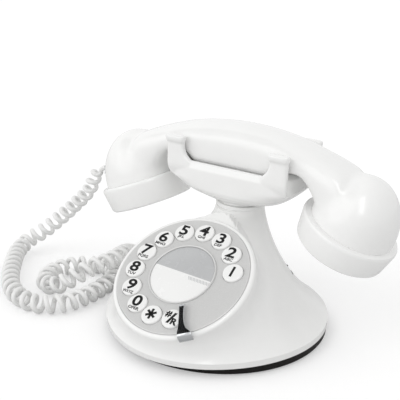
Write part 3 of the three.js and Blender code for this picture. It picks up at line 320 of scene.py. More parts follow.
# Zinc-plated steel: bluish bright metal with a slightly uneven passivated skin
zinc, tree, shader = finish_of("zinc-plated steel")
where = add(tree, "ShaderNodeTexCoord").outputs["Object"]
mottle = add(tree, "ShaderNodeTexNoise", {"Vector": where, "Scale": 1 / (1.2 * mm), "Detail": 3.0})
gloss = add(tree, "ShaderNodeMapRange", {"Value": mottle.outputs["Fac"], "To Min": 0.25, "To Max": 0.45})
feed(tree, shader, {"Base Color": srgb("#b9bec4"), "Metallic": 1.0, "Roughness": gloss.outputs["Result"]})

foot = soften(turned("rubber_foot", [(6.2, 0), (7, 0.6), (7, 2)], 64), 0.15, 2)
for i, foot in enumerate(copies(foot, foot_places), 1):
    foot.name = f"rubber_foot_{i}"
    settle(foot, standing, rubber, "base", [f"foot_{i}"])

screw = turned("pan_screw", [(2.2, 1.0), (3.1, 1.35), (3.1, 1.7), (1.4, 1.7), (1.4, 13), (0.4, 14.5)], 48)
carve(screw, [box((2.6, 0.5, 0.9), (0, 0, 1), turned_by(turn, "Z")) for turn in (0, 90)])
for i, screw in enumerate(copies(screw, screw_places), 1):
    screw.name = f"pan_screw_{i}"
    settle(screw, standing, zinc, "base", [f"plate_screw_{i}"])

# ---------------------------------------------------------------- Body shell
# One gloss white ABS moulding: a bell that flares from the neck to the skirt, run
# together with the round pod that holds the dial. It is open below and at the dial.
skirt_radius, skirt_top, shoulder_round = 76.5, 10.5, 5
neck_radius, neck_top, neck_back = 16.8, 79, 25
dial_y, dial_z, dial_tilt = -47.1, 51.8, 33
pod_radius, pod_meeting = 47.4, 26
wall = 2.8


def smooth_step(low, high, value):
    """Runs from 0 to 1 between low and high, level at both ends."""
    t = min(max((value - low) / (high - low), 0), 1)
    return t * t * (3 - 2 * t)


def bell_middle(height):
    """The bell leans back: how far its middle lies behind the skirt's."""
    return neck_back * smooth_step(skirt_top, neck_top - 2, height)


def bell_radius(height):
    """An upright skirt, a round shoulder and a flare up to the neck."""
    over = height - skirt_top
    if over <= 0:
        return skirt_radius
    below_neck = max((neck_top - height) / (neck_top - skirt_top), 0)
    flare = neck_radius + (skirt_radius - neck_radius) * below_neck ** 1.67
    if over >= shoulder_round:
        return flare
    return min(skirt_radius - shoulder_round + math.sqrt(shoulder_round ** 2 - over * over), flare)


def pod_place(x, y, z):
    """Distance from the dial's axis, and height along it above the rim's crest."""
    cos, sin = math.cos(math.radians(dial_tilt)), math.sin(math.radians(dial_tilt))
    y, z = y - dial_y, z - dial_z
    return math.hypot(x, y * cos + z * sin), z * cos - y * sin


def outside_body(x, y, z, inset, clip):
    """Positive outside the bell and the pod, which flow into each other where they meet."""
    lean = 1 - 0.2 * smooth_step(skirt_top, 21, z)
    bell = lean * (math.hypot(x, y - bell_middle(z)) - bell_radius(z))
    across, above = pod_place(x, y, z)
    pod = across - pod_radius
    near = max(pod_meeting - abs(bell - pod), 0) / pod_meeting
    return max(min(bell, pod) - near * near * pod_meeting / 4 + inset, above - clip)


def body_outline(inset, clip):
    """Outline of the body at a height: the point where a ray from its middle leaves it."""
    def outline(height, angle):
        middle = -10 + 35 * smooth_step(30, 72, height)
        cos, sin = math.cos(angle), math.sin(angle)
        low, high = 0.0, 4.0
        while outside_body(cos * high, middle + sin * high, height, inset, clip) < 0:
            low, high = high, high + 4
        for _ in range(14):
            half = (low + high) / 2
            if outside_body(cos * half, middle + sin * half, height, inset, clip) < 0:
                low = half
            else:
                high = half
        return cos * low, middle + sin * low
    return outline


def drawn(name, heights, sides, outline):
    """Circle drawn up through the heights, each ring of vertices pulled out to the outline there."""
    bpy.ops.object.select_all(action="DESELECT")
    bpy.ops.mesh.primitive_circle_add(vertices=sides, radius=mm, fill_type="NGON")
    obj = bpy.context.object
    obj.name = name
    bpy.ops.object.mode_set(mode="EDIT")
    bpy.ops.mesh.select_all(action="SELECT")
    for _ in heights[1:]:
        bpy.ops.mesh.extrude_region_move(TRANSFORM_OT_translate={"value": (0, 0, mm)})
    bpy.ops.mesh.select_all(action="SELECT")
    bpy.ops.mesh.normals_make_consistent(inside=False)
    bpy.ops.object.mode_set(mode="OBJECT")
    for vertex in obj.data.vertices:
        height = heights[round(vertex.co.z / mm)]
        x, y = outline(height, math.atan2(vertex.co.y, vertex.co.x))
        vertex.co = (x * mm, y * mm, height * mm)
    return obj


# Gloss white ABS: a nearly even white, polished by the mould, with the faint waviness of
# a moulded skin about every 6 mm and a little wiped-on haze in the gloss
white_abs, tree, shader = finish_of("gloss white ABS")
where = add(tree, "ShaderNodeTexCoord").outputs["Object"]
wave = add(tree, "ShaderNodeTexNoise", {"Vector": where, "Scale": 1 / (6 * mm), "Detail": 1.0})
haze = add(tree, "ShaderNodeTexNoise", {"Vector": where, "Scale": 1 / (22 * mm), "Detail": 5.0,
                                        "Roughness": 0.6})
tint = add(tree, "ShaderNodeMix", {"Factor": haze.outputs["Fac"], "A": srgb("#f0f0ef"), "B": srgb("#f6f6f5")},
           data_type="RGBA")
gloss = add(tree, "ShaderNodeMapRange", {"Value": haze.outputs["Fac"], "From Min": 0.3, "From Max": 0.7,
                                         "To Min": 0.17, "To Max": 0.26})
bump = add(tree, "ShaderNodeBump", {"Strength": 0.12, "Distance": 0.03 * mm, "Height": wave.outputs["Fac"]})
feed(tree, shader, {"Base Color": tint.outputs["Result"], "Roughness": gloss.outputs["Result"],
                    "Normal": bump.outputs["Normal"], "IOR": 1.53})

dial_here = at(0, dial_y, dial_z) @ turned_by(dial_tilt, "X")
dial_place = standing @ dial_here

skirt = [6.4, 6.8, 8.5, skirt_top]
shoulder = [skirt_top + shoulder_round * math.sin(math.radians(a)) for a in (15, 30, 45, 60, 75, 88)]
flank = [*range(16, neck_top), neck_top - 0.4, neck_top]
body = drawn("bell_body", skirt + shoulder + flank, 176, body_outline(0, 8))
cavity = drawn("cavity", [5, 10.5, 15, 20, 26, 33, 40, 48, 56, 64, 70, 74.2], 64, body_outline(wall, -8.1))
pod_top, cutter = -4.1, 100  # the pod ends level, under the rim
above = box((2 * cutter, 2 * cutter, cutter), (0, 0, pod_top + cutter / 2), dial_here)
recess = turned("recess", [(44.5, -5.3), (44.5, 1)], 160)
recess.matrix_world = dial_here
well = turned("well", [(42.5, -13.7), (42.5, -4.9)], 96)
well.matrix_world = dial_here
bore = turned("bore", [(3.35, 70), (3.35, 80)], 32)
bore.matrix_world = at(0, neck_back)
socket_x, socket_z, socket_slot = 16, 18.65, (13.6, 30, 12.1)
slots = [box(socket_slot, (side * socket_x, 63.5, socket_z)) for side in (-1, 1)]
switch_z, switch_turn, switch_slot = 30, 42, (22.4, 9, 5)
x, y = on_circle(bell_radius(switch_z), switch_turn)
switch_here = at(x, y + bell_middle(switch_z), switch_z) @ turned_by(switch_turn, "Z")
slots.append(box(switch_slot, place=switch_here))
carve(body, [cavity, above, recess, well, bore, *slots])
settle(body, standing, white_abs, "base", ["body_shell"], 28)

# ---------------------------------------------------------------- Dial rim
# White ABS ring snapped over the pod. Its round shoulder runs from the grey panel,
# which stands a little proud of it, out to the pod.
shoulder = [(44.7 + 2.7 * math.sin(math.radians(a)), -3.8 + 2.2 * math.cos(math.radians(a)))
            for a in range(0, 91, 10)]
rim = turned("dial_rim", [(44.5, -4.05), (44.5, -1.75), *shoulder, (pod_radius, -4.05), (44.5, -4.05)], 192,
             hollow=True)
settle(rim, dial_place, white_abs, "base", ["dial_bezel"])

# ---------------------------------------------------------------- Dial panel
# Silver-grey moulded ABS disc with twelve round holes for the buttons. Its skirt
# stands on a ledge of the body.

# Silver-grey ABS: pale grey with fine aluminium flake of about 0.3 mm, a satin gloss
silver_abs, tree, shader = finish_of("silver-grey ABS")
where = add(tree, "ShaderNodeTexCoord").outputs["Object"]
flake = add(tree, "ShaderNodeTexVoronoi", {"Vector": where, "Scale": 1 / (0.3 * mm)})
tint = add(tree, "ShaderNodeMix", {"Factor": flake.outputs["Color"], "A": srgb("#d0d0cf"),
                                   "B": srgb("#dadad9")}, data_type="RGBA")
bump = add(tree, "ShaderNodeBump", {"Strength": 0.06, "Distance": 0.02 * mm,
                                    "Height": flake.outputs["Distance"]})
feed(tree, shader, {"Base Color": tint.outputs["Result"], "Normal": bump.outputs["Normal"],
                    "Roughness": 0.3, "Metallic": 0.1, "IOR": 1.53})

key_places = [at(*on_circle(33.7, 18.8 + 24.58 * i)) for i in range(12)]
panel = turned("dial_panel_grey", [(10, -3), (42.8, -3), (42.8, -5), (44.35, -5), (44.35, -1.6),
                                   (44.25, -1.3), (44.0, -1.08), (43.7, -1), (30, -1)], 160)
hole = turned("key_hole", [(6.9, -7), (6.9, -1.25), (7.15, -0.99), (7.15, 0)], 64)
carve(panel, [join(copies(hole, key_places), "key_holes")])
settle(panel, dial_place, silver_abs, "base", ["dial_panel"])

# ---------------------------------------------------------------- Push-buttons
# Twelve domed caps of gloss white ABS that stand in the panel's holes. The digits and the
# letter groups under them are printed in black.

# Printing ink: dense black, a little raised and satin
ink, tree, shader = finish_of("black printing ink")
where = add(tree, "ShaderNodeTexCoord").outputs["Object"]
speck = add(tree, "ShaderNodeTexNoise", {"Vector": where, "Scale": 1 / (0.4 * mm), "Detail": 2.0})
gloss = add(tree, "ShaderNodeMapRange", {"Value": speck.outputs["Fac"], "To Min": 0.35, "To Max": 0.5})
feed(tree, shader, {"Base Color": srgb("#111111"), "Roughness": gloss.outputs["Result"]})
ink_top = 0.72


def printed(text, size, weight, middle, breadth, high=ink_top, widest=10):
    """Text as a solid up to a height, with its middle at a point of the button's top."""
    bpy.ops.object.select_all(action="DESELECT")
    bpy.ops.object.text_add(location=(0, 0, 0))
    words = bpy.context.object
    words.data.body = text
    words.data.size = size * mm
    words.data.offset = weight * mm
    words.data.align_x = "CENTER"
    words.data.extrude = high / 2 * mm
    words.data.resolution_u = 4
    bpy.ops.object.convert(target="MESH")
    words = bpy.context.object
    share = min(breadth, widest * mm / words.dimensions.x)
    bpy.ops.transform.resize(value=(share, 1, 1), center_override=(0, 0, 0))
    bpy.ops.object.transform_apply(location=True, scale=True)
    xs = [v.co.x for v in words.data.vertices]
    ys = [v.co.y for v in words.data.vertices]
    shift = Vector((middle[0] * mm - (min(xs) + max(xs)) / 2, middle[1] * mm - (min(ys) + max(ys)) / 2,
                    high / 2 * mm))
    for vertex in words.data.vertices:
        vertex.co += shift
    words.data.materials.clear()
    words.data.materials.append(ink)
    return words


key_names = ["1", "2", "3", "4", "5", "6", "7", "8", "9", "0", "star", "hash"]
letters = {"2": "ABC", "3": "DEF", "4": "GHI", "5": "JKL", "6": "MNO", "7": "PQRS", "8": "TUV",
           "9": "WXYZ", "0": "OPER"}
key_radius, key_round = 6.7, 1.3
edge = [(key_radius - key_round * (1 - math.cos(math.radians(a))), -0.6 + 1.15 * math.sin(math.radians(a)))
        for a in range(0, 91, 15)]
crown = [(r, 0.55 + 0.15 * (1 - (r / (key_radius - key_round)) ** 2)) for r in (4.8, 4, 3, 2, 1, 0.2)]
key = turned("button", [(key_radius, -4), *edge, *crown], 72)
key.data.materials.append(white_abs)
keys = copies(key, [Matrix()] * len(key_names))
for name, key, key_place in zip(key_names, keys, key_places):
    prints = []
    if name == "star":
        for turn in (90, 150, 210):
            bar = box((7.4, 1.6, 0.3), (0, 0, 0.58), turned_by(turn, "Z"))
            bar.data.materials.append(ink)
            prints.append(bar)
    elif name == "hash":
        prints.append(printed("#", 5.8, 0.22, (-3.0, 1.9), 1.1))
        prints.append(printed("/", 10.4, 0.34, (0.1, 0.0), 1.2))
        prints.append(printed("R", 5.8, 0.24, (3.0, -1.9), 1.15))
    else:
        weight = 0.14 if name == "1" else 0.28
        prints.append(printed(name, 10.6, weight, (-0.2, 1.15 if name in letters else 0.2), 1.26))
        if name in letters:
            prints.append(printed(letters[name], 2.8, 0.05, (0, -4.25), 1.15, 0.69, 7.8))
    key = join([key, *prints], f"button_{name}")
    settle(key, dial_place @ key_place, None, f"key_{name}_body", [f"key_{name}"])

# ---------------------------------------------------------------- Label and its ring
# A round printed card under a satin film, held down by a thin grey ring. Its upper
# part is silver-grey, the lower part white, with a hatched band between them.

# Laminated card: silver-grey print above, white below and a band of slanted strokes, 1.1 mm
# apart, under the satin film
label_print, tree, shader = finish_of("laminated printed card")
where = add(tree, "ShaderNodeTexCoord").outputs["Object"]
upright = math.radians(-dial_tilt)  # turns the dial's face level
face = add(tree, "ShaderNodeMapping", {"Vector": where, "Rotation": (upright, 0, 0)})
parts = add(tree, "ShaderNodeSeparateXYZ", {"Vector": face.outputs["Vector"]})
rise = add(tree, "ShaderNodeMath", {0: parts.outputs["X"], 1: math.tan(math.radians(2)),
                                    2: parts.outputs["Y"]}, operation="MULTIPLY_ADD").outputs[0]
split = (Matrix.Rotation(upright, 3, "X") @ (dial_place @ Vector((0, 1.1 * mm, -0.6 * mm)))).y
silver_edge = add(tree, "ShaderNodeMath", {0: rise, 1: split}, operation="GREATER_THAN")
band_low = add(tree, "ShaderNodeMath", {0: rise, 1: split - 3.4 * mm}, operation="GREATER_THAN")
band_high = add(tree, "ShaderNodeMath", {0: rise, 1: split - 1.1 * mm}, operation="LESS_THAN")
slanted = add(tree, "ShaderNodeMath", {0: parts.outputs["Y"], 1: 0.6, 2: parts.outputs["X"]},
              operation="MULTIPLY_ADD")
stroke = add(tree, "ShaderNodeMath", {0: slanted.outputs[0], 1: 1.1 * mm}, operation="MODULO")
stroke_on = add(tree, "ShaderNodeMath", {0: stroke.outputs[0], 1: 0.5 * mm}, operation="GREATER_THAN")
band = add(tree, "ShaderNodeMath", {0: band_low.outputs[0], 1: band_high.outputs[0]}, operation="MULTIPLY")
hatch = add(tree, "ShaderNodeMath", {0: band.outputs[0], 1: stroke_on.outputs[0]}, operation="MULTIPLY")
paper = add(tree, "ShaderNodeMix", {"Factor": hatch.outputs[0], "A": srgb("#f2f2f1"), "B": srgb("#c4c5c6")},
            data_type="RGBA")
card = add(tree, "ShaderNodeMix", {"Factor": silver_edge.outputs[0], "A": paper.outputs["Result"],
                                   "B": srgb("#bebfc0")}, data_type="RGBA")
film = add(tree, "ShaderNodeTexNoise", {"Vector": where, "Scale": 1 / (5 * mm), "Detail": 2.0})
gloss = add(tree, "ShaderNodeMapRange", {"Value": film.outputs["Fac"], "To Min": 0.2, "To Max": 0.32})
feed(tree, shader, {"Base Color": card.outputs["Result"], "Roughness": gloss.outputs["Result"], "IOR": 1.5})

card_disc = turned("label_disc", [(21.3, -0.9), (21.3, -0.65), (21.2, -0.6)], 128)
settle(card_disc, dial_place, label_print, "base", ["label_card"])
ring = turned("label_rim", [(21.5, -0.9), (22.6, -0.9), (22.6, -0.25), (22.4, 0.1), (22.05, 0.2),
                            (21.75, 0.08), (21.5, -0.25), (21.5, -0.9)], 160, hollow=True)
settle(ring, dial_place, silver_abs, "base", ["label_ring"])

# ---------------------------------------------------------------- Finger stop
# A strip of chromed steel, 1.2 mm thick, folded over the rim. It narrows to a tip
# that is bent down over the panel.

# Polished chrome plate over steel: mirror bright, with very fine buffing lines 0.2 mm apart
chrome, tree, shader = finish_of("polished chrome plate")
where = add(tree, "ShaderNodeTexCoord").outputs["Object"]
buffing = add(tree, "ShaderNodeTexNoise", {"Vector": where, "Scale": 1 / (0.2 * mm), "Detail": 1.0})
gloss = add(tree, "ShaderNodeMapRange", {"Value": buffing.outputs["Fac"], "To Min": 0.1, "To Max": 0.2})
feed(tree, shader, {"Base Color": srgb("#c6c8ca"), "Metallic": 1.0, "Roughness": gloss.outputs["Result"]})

# distance from the dial's axis, height over the rim's crest, and the strip's two edges
stations = [(25.3, 0.75, -2.0, 1.5), (25.6, 1.5, -2.1, 1.5), (26.3, 2.0, -2.15, 1.4), (27.6, 2.2, -2.2, 1.25),
            (30, 2.2, -2.3, 0.9), (33, 2.2, -2.5, 0.6), (36, 2.2, -2.8, 0.5), (39, 2.2, -3.1, 0.6),
            (41.5, 2.2, -3.4, 0.95), (43.4, 2.2, -3.8, 1.7), (44.8, 2.2, -4.1, 2.8), (45.8, 2.2, -4.3, 3.8),
            (46.6, 2.2, -4.4, 4.4), (47.6, 1.9, -4.4, 4.4), (48.2, 1.2, -4.4, 4.4), (48.3, 0, -4.4, 4.4),
            (48.3, -3.5, -4.4, 4.4)]
bpy.ops.object.select_all(action="DESELECT")
bpy.ops.mesh.primitive_plane_add(size=1)
stop = bpy.context.object
stop.name = "chrome_finger_stop"
for vertex in stop.data.vertices:
    reach, high, near, far = stations[0] if vertex.co.x < 0 else stations[1]
    vertex.co = (reach * mm, (near if vertex.co.y < 0 else far) * mm, high * mm)
for part in (*stop.data.vertices, *stop.data.edges, *stop.data.polygons):
    part.select = False
for edge in stop.data.edges:
    edge.select = all(abs(stop.data.vertices[i].co.x - stations[1][0] * mm) < 1e-7 for i in edge.vertices)
bpy.ops.object.mode_set(mode="EDIT")
bpy.ops.mesh.select_mode(type="EDGE")
for (r0, h0, near0, far0), (r1, h1, near1, far1) in zip(stations[1:], stations[2:]):
    bpy.ops.mesh.extrude_region_move(
        TRANSFORM_OT_translate={"value": ((r1 - r0) * mm, (near1 - near0) * mm, (h1 - h0) * mm)})
    bpy.ops.transform.resize(value=(1, (far1 - near1) / (far0 - near0), 1),
                             center_override=(r1 * mm, near1 * mm, h1 * mm))
bpy.ops.mesh.select_all(action="SELECT")
bpy.ops.mesh.normals_make_consistent(inside=False)
bpy.ops.object.mode_set(mode="OBJECT")
thick = stop.modifiers.new("thickness", "SOLIDIFY")
thick.thickness = 1.2 * mm
thick.offset = 0
only(stop)
bpy.ops.object.modifier_apply(modifier="thickness")
soften(stop, 0.25, 3, 50)
settle(stop, dial_place @ turned_by(302.5, "Z"), chrome, "base", ["finger_stop"])

# ---------------------------------------------------------------- Ringer switch
# A slider moulded of black ABS, with three grooves for the fingertip. It runs in a slot
# at the back right of the bell, in a housing of the same ABS behind the wall.
slider = box((1.7, 5.4, 4.4), (-2.15, -1.5, 0))
slider.name = "switch_slider"
bpy.ops.object.transform_apply(location=True, rotation=True, scale=True)
soften(carve(slider, [box((0.6, 0.45, 5), (-1.3, shift, 0)) for shift in (-2.6, -1.5, -0.4)]), 0.12, 2)
settle(slider, standing @ switch_here, black_abs, "ringer_slider_body", ["ringer_slider"])

# ---------------------------------------------------------------- Neck collar
# A thin ring of the same gloss white ABS, clamped between the bell's neck and the
# cradle's stem, where it hides the joint.
tower_place = standing @ at(0, neck_back)
collar = turned("neck_ring", [(7.35, 79.02), (17.0, 79.02), (17.15, 80.5), (17.0, 81), (16.6, 81.3),
                              (7.35, 81.3), (7.35, 79.02)], 128, hollow=True)
settle(collar, tower_place, white_abs, "base", ["neck_collar"])

# ---------------------------------------------------------------- Handset shell
# Gloss white ABS: a bowed handle with a domed cup at each end. The handle has a
# rounded square section and a deeper belly between the cradle's prongs.
cup_x, cup_z, cup_tilt, cup_radius, dome_height = 82.65, 81.8, 23.1, 29, 36.5
handle_crest, handle_bow, handle_crown, handle_half = 136, 188, 14, 19.8


def cup_place(side):
    """Frame of a cup's mouth, which leans outwards."""
    return at(side * cup_x, 0, cup_z) @ turned_by(side * cup_tilt, "Y")


def handle_under(x):
    """Height of the handle's underside: a belly between the prongs, and a fall into the cups."""
    along = abs(x)
    cup_edge = cup_x - cup_radius * math.cos(math.radians(cup_tilt))
    belly = 105.2 + 7.8 * smooth_step(27, 36, along)
    return belly - 29 * smooth_step(cup_edge - 8, cup_edge + 18, along)


def handle_section(margin):
    """Section of the handle at one place along it, for a cylinder that is laid down afterwards."""
    def outline(x, angle):
        high = handle_crest - handle_bow + math.sqrt(handle_bow ** 2 - x * x) + margin
        low = handle_under(x) - margin
        cos, sin = math.cos(angle), math.sin(angle)
        power = 2.7 + 2 * min(max(cos, 0) / 0.3, 1)
        reach = (abs(cos) ** power + abs(sin) ** power) ** (-1 / power)
        half_width = handle_half + 2.2 * smooth_step(52, 80, abs(x)) + margin
        crown = handle_crown + margin
        depth = crown if cos < 0 else high - crown - low
        return crown - high + depth * cos * reach, half_width * sin * reach
    return outline


def voxel_skin(obj, size, smoothing):
    """Runs the joined forms together under one even skin and smooths it."""
    only(obj)
    remesh = obj.modifiers.new("skin", "REMESH")
    remesh.mode = "VOXEL"
    remesh.voxel_size = size * mm
    smooth = obj.modifiers.new("smooth", "SMOOTH")
    smooth.factor = 0.5
    smooth.iterations = smoothing
    bpy.ops.object.modifier_apply(modifier="skin")
    bpy.ops.object.modifier_apply(modifier="smooth")
    return obj


lay_down = turned_by(90, "Y")
handle = drawn("handset_body", [i * 1.5 - 81 for i in range(109)], 80, handle_section(0))
handle.data.transform(lay_down)
dome_arc = [(cup_radius * math.cos(math.radians(a)), dome_height * math.sin(math.radians(a)))
            for a in range(5, 90, 5)]
dome = turned("dome", [(cup_radius, -6), (cup_radius, 0), *dome_arc], 96)
carve(handle, copies(dome, [cup_place(-1), cup_place(1)]), "UNION")
voxel_skin(handle, 0.8, 30)

# the crease between handle and domes is smoothed further than the rest
group = handle.vertex_groups.new(name="shoulder")
for vertex in handle.data.vertices:
    along = abs(vertex.co.x) / mm
    weight = smooth_step(44, 58, along) * (1 - smooth_step(74, 98, along))
    if weight > 0:
        group.add([vertex.index], weight, "REPLACE")
flow = handle.modifiers.new("flow", "SMOOTH")
flow.factor = 0.5
flow.iterations = 220
flow.vertex_group = "shoulder"
only(handle)
bpy.ops.object.modifier_apply(modifier="flow")

# one half is cut at the cup's mouth, hollowed, given its spigot and mirrored to the other end
only(handle)
bpy.ops.object.mode_set(mode="EDIT")
bpy.ops.mesh.select_all(action="SELECT")
bpy.ops.mesh.bisect(plane_co=(0, 0, 0), plane_no=(1, 0, 0), clear_inner=True, use_fill=True)
bpy.ops.object.mode_set(mode="OBJECT")
below = turned("below", [(36, -40), (36, 0)], 96)
spigot = turned("spigot", [(25.4, -5), (27.6, -5), (27.6, 1), (25.4, 1), (25.4, -5)], 96, hollow=True)
hollow = turned("hollow", [(25.4, -6), (25.4, 11)], 96)
for tool in (below, spigot, hollow):
    tool.matrix_world = cup_place(1)
carve(handle, [below])
carve(handle, [spigot], "UNION")
carve(handle, [hollow])
only(handle)
bpy.ops.object.mode_set(mode="EDIT")
bpy.ops.mesh.select_all(action="SELECT")
bpy.ops.mesh.bisect(plane_co=(0.05 * mm, 0, 0), plane_no=(1, 0, 0), clear_inner=True)
bpy.ops.object.mode_set(mode="OBJECT")
for vertex in handle.data.vertices:
    if vertex.co.x < 0.06 * mm:
        vertex.co.x = 0
mirror = handle.modifiers.new("other_end", "MIRROR")
mirror.use_axis = (True, False, False)
mirror.merge_threshold = 0.02 * mm
bpy.ops.object.modifier_apply(modifier="other_end")
jack_x, jack_z, jack_slot = -111.94, 81.0, (41, 11.5, 10.4)
carve(handle, [box(jack_slot, (jack_x - 8.5, 0, jack_z))])
settle(handle, tower_place, white_abs, "handset", ["handset_shell"], 30)

# ---------------------------------------------------------------- Mouthpiece and earpiece caps
# Two gloss white ABS caps screwed onto the cups. Each has a soft outer edge and
# rings of sound holes through its face.
cap = turned("cap", [
    (27.6, -18.8), (29.4, -18.5), (30.5, -17.6), (31.0, -16.2), (33.2, -2.8), (33.1, -1.5), (32.6, -0.6),
    (31.6, -0.12), (28.9, -0.04), (27.9, -0.04), (27.9, -16.2)], 160)
hole_places = [at(*on_circle(radius, first + 360 * i / count))
               for count, radius, first in ((1, 0, 0), (6, 9, 0), (12, 17, 15)) for i in range(count)]
carve(cap, [join(copies(turned("hole", [(1.6, -20), (1.6, -14)], 24), hole_places), "sound_holes")])
for name, cap in zip(("mouthpiece_cap", "earpiece_cap"), copies(cap, [cup_place(-1), cup_place(1)])):
    cap.name = f"{name}_white"
    settle(cap, tower_place, white_abs, "handset", [name], 30)

# ---------------------------------------------------------------- Cradle
# One gloss white ABS moulding on the neck: a boat-shaped rest with an open trough and
# four prongs with thickened tips that keep the handle in place.

# height, half length, half width and squareness of the boat
levels = [(81.35, 15.8, 15.8, 2.0), (82.8, 15.8, 15.8, 2.0), (84.04, 26.0, 17.3, 2.1),
          (86.5, 32.6, 20.9, 2.3), (89, 36.8, 24.4, 2.6), (91.7, 40.4, 26, 3.1), (94.7, 43.7, 26, 4.0),
          (98, 46, 26, 6.0), (105.5, 46, 26, 6.0), (110, 46, 24.2, 6.0), (114.5, 46, 24.2, 6.0)]


def hull_outline(height, angle):
    """Rounded outline of the boat at a height, between the levels above."""
    for (low, *a), (high, *b) in zip(levels, levels[1:]):
        if height <= high + 1e-6:
            t = (height - low) / (high - low)
            half_x, half_y, power = (p + (q - p) * t for p, q in zip(a, b))
            break
    cos, sin = math.cos(angle), math.sin(angle)
    reach = (abs(cos) ** power + abs(sin) ** power) ** (-1 / power)
    return half_x * cos * reach, half_y * sin * reach


def block(name, low, high):
    """Box between two corners, in millimetres, with its place in its mesh."""
    obj = box([b - a for a, b in zip(low, high)], [(a + b) / 2 for a, b in zip(low, high)])
    obj.name = name
    bpy.ops.object.transform_apply(location=True, scale=True)
    return obj


hull = drawn("boat_cradle", [81.35, 82.8] + [82.8 + 0.3 * i for i in range(1, 41)]
             + [94.8 + 0.9 * i for i in range(1, 22)] + [114.5], 128, hull_outline)
carve(hull, [block("trough", (-33.5, -21.2, 100), (33.5, 21.2, 120)),
             block("sides", (-31.5, -30, 110), (31.5, 30, 120)),
             block("top", (-60, -30, 113.5), (60, 30, 120))])

# a prong by height: half length, half width, and how far it has moved outwards and to the middle
prong_x, prong_y = 39.4, 23.5
shank = {98: (7.0, 1.4, -2.4, 2.0), 101: (8.8, 1.9, -1.2, 2.8), 104: (9.6, 2.3, -0.3, 3.2),
         106.5: (9.7, 2.5, 0, 3.3), 109: (9.5, 2.5, 0, 3.1), 110.8: (8.8, 2.5, 0, 2.4),
         112.6: (7.8, 2.5, 0, 1.4), 114.6: (7.1, 2.5, 0, 0.7), 117: (6.6, 2.5, 0, 0.2), 120: (6.4, 2.5, 0, 0),
         121.5: (6.5, 2.6, 0.1, 0), 122.5: (7.2, 3.2, 0.7, 0), 124.9: (7.5, 3.4, 0.9, 0),
         126: (7.2, 3.1, 0.9, 0), 126.5: (6.5, 2.4, 0.9, 0)}


def prong_outline(side_x, side_y):
    """Outline of the prong on one side and at one end."""
    def outline(height, angle):
        half_x, half_y, out, inward = shank[height]
        cos, sin = math.cos(angle), math.sin(angle)
        reach = (abs(cos) ** 4 + abs(sin) ** 4) ** -0.25
        return (side_x * (prong_x - inward) + half_x * cos * reach,
                side_y * (prong_y + out) + half_y * sin * reach)
    return outline


carve(hull, [drawn("prong", [*shank], 48, prong_outline(side_x, side_y))
             for side_x in (-1, 1) for side_y in (-1, 1)], "UNION")
for side in (-1, 1):
    slope = block("slope", (-9, -19.5, 0), (9, 19.5, 8))
    slope.data.transform(at(side * 42, 0, 110.5) @ turned_by(side * 30, "Y"))
    carve(hull, [slope])
voxel_skin(hull, 0.6, 9)
seat = drawn("handle_seat", [i * 2 - 54 for i in range(55)], 64, handle_section(0.3))
seat.data.transform(lay_down)
bore = turned("plunger_bore", [(3.35, 78), (3.35, 106)], 32)
carve(hull, [seat, bore])
settle(hull, tower_place, white_abs, "base", ["cradle"], 30)

# ---------------------------------------------------------------- Hook plunger
# White ABS button in the trough that the handle holds down; its rod runs down the
# neck to the switch on the main board.
plunger = turned("hook_button", [(2, 21.2), (3, 22.2), (3, 100.3), (5.5, 100.3), (5.5, 103.9), (5.2, 104.6),
                                 (4.5, 104.9)], 64)
settle(plunger, tower_place, white_abs, "hook_plunger_body", ["hook_plunger"])

# ---------------------------------------------------------------- Handset cord
# Curly cord of white PVC, 3.6 mm thick, wound into about seventy curls. It hangs from
# the mouthpiece, lies in two loops on the table and goes into the back of the base.
lying = 7.4  # height of the coil's middle where it lies on the table
route = [
    (-124, 25, 79.5), (-131, 25, 72), (-137, 25, 60), (-153, 24, 43), (-166, 21, 30), (-177, 15, 19),
    (-187, 5, 10), (-183, -10, lying), (-170, -28, lying), (-154, -47, lying), (-137, -62, lying),
    (-120, -69.5, lying), (-104, -69, lying), (-92, -59, lying), (-87, -44, lying), (-86, -28, lying),
    (-87, -13, lying), (-92, 1, lying), (-104, 8, lying), (-117, 5, lying), (-128, -4, lying),
    (-133, -17, lying), (-131, -32, lying), (-122, -42, lying), (-111, -43, 10), (-101, -36, 16.5),
    (-94, -26, 22), (-89, -10, 23.5), (-90, 7, 23), (-95, 22, 18), (-99, 38, 10), (-97, 54, lying),
    (-86, 68, lying), (-72, 79, lying), (-56, 87, lying), (-42, 92, lying), (-32, 93, 9),
]
lead_to_base = [(-26, 92, 12), (-20, 87.5, 16), (-16.5, 81, 18.4)]
curls, steps = 70, 24  # steps to each curl


def through(points, fine):
    """Smooth line through points, closer together where they are, with fine steps between each two."""
    spots = [Vector(p) for p in points]
    spots = [2 * spots[0] - spots[1], *spots, 2 * spots[-1] - spots[-2]]
    line = []
    for a, b, c, d in zip(spots, spots[1:], spots[2:], spots[3:]):
        ab, bc, cd = ((q - p).length ** 0.5 for p, q in ((a, b), (b, c), (c, d)))
        into = ((b - a) / ab - (c - a) / (ab + bc) + (c - b) / bc) * bc
        out = ((c - b) / bc - (d - b) / (bc + cd) + (d - c) / cd) * bc
        for i in range(fine):
            t = i / fine
            line.append(b * (2 * t ** 3 - 3 * t ** 2 + 1) + into * (t ** 3 - 2 * t ** 2 + t)
                        + c * (3 * t ** 2 - 2 * t ** 3) + out * (t ** 3 - t ** 2))
    return [*line, spots[-2]]


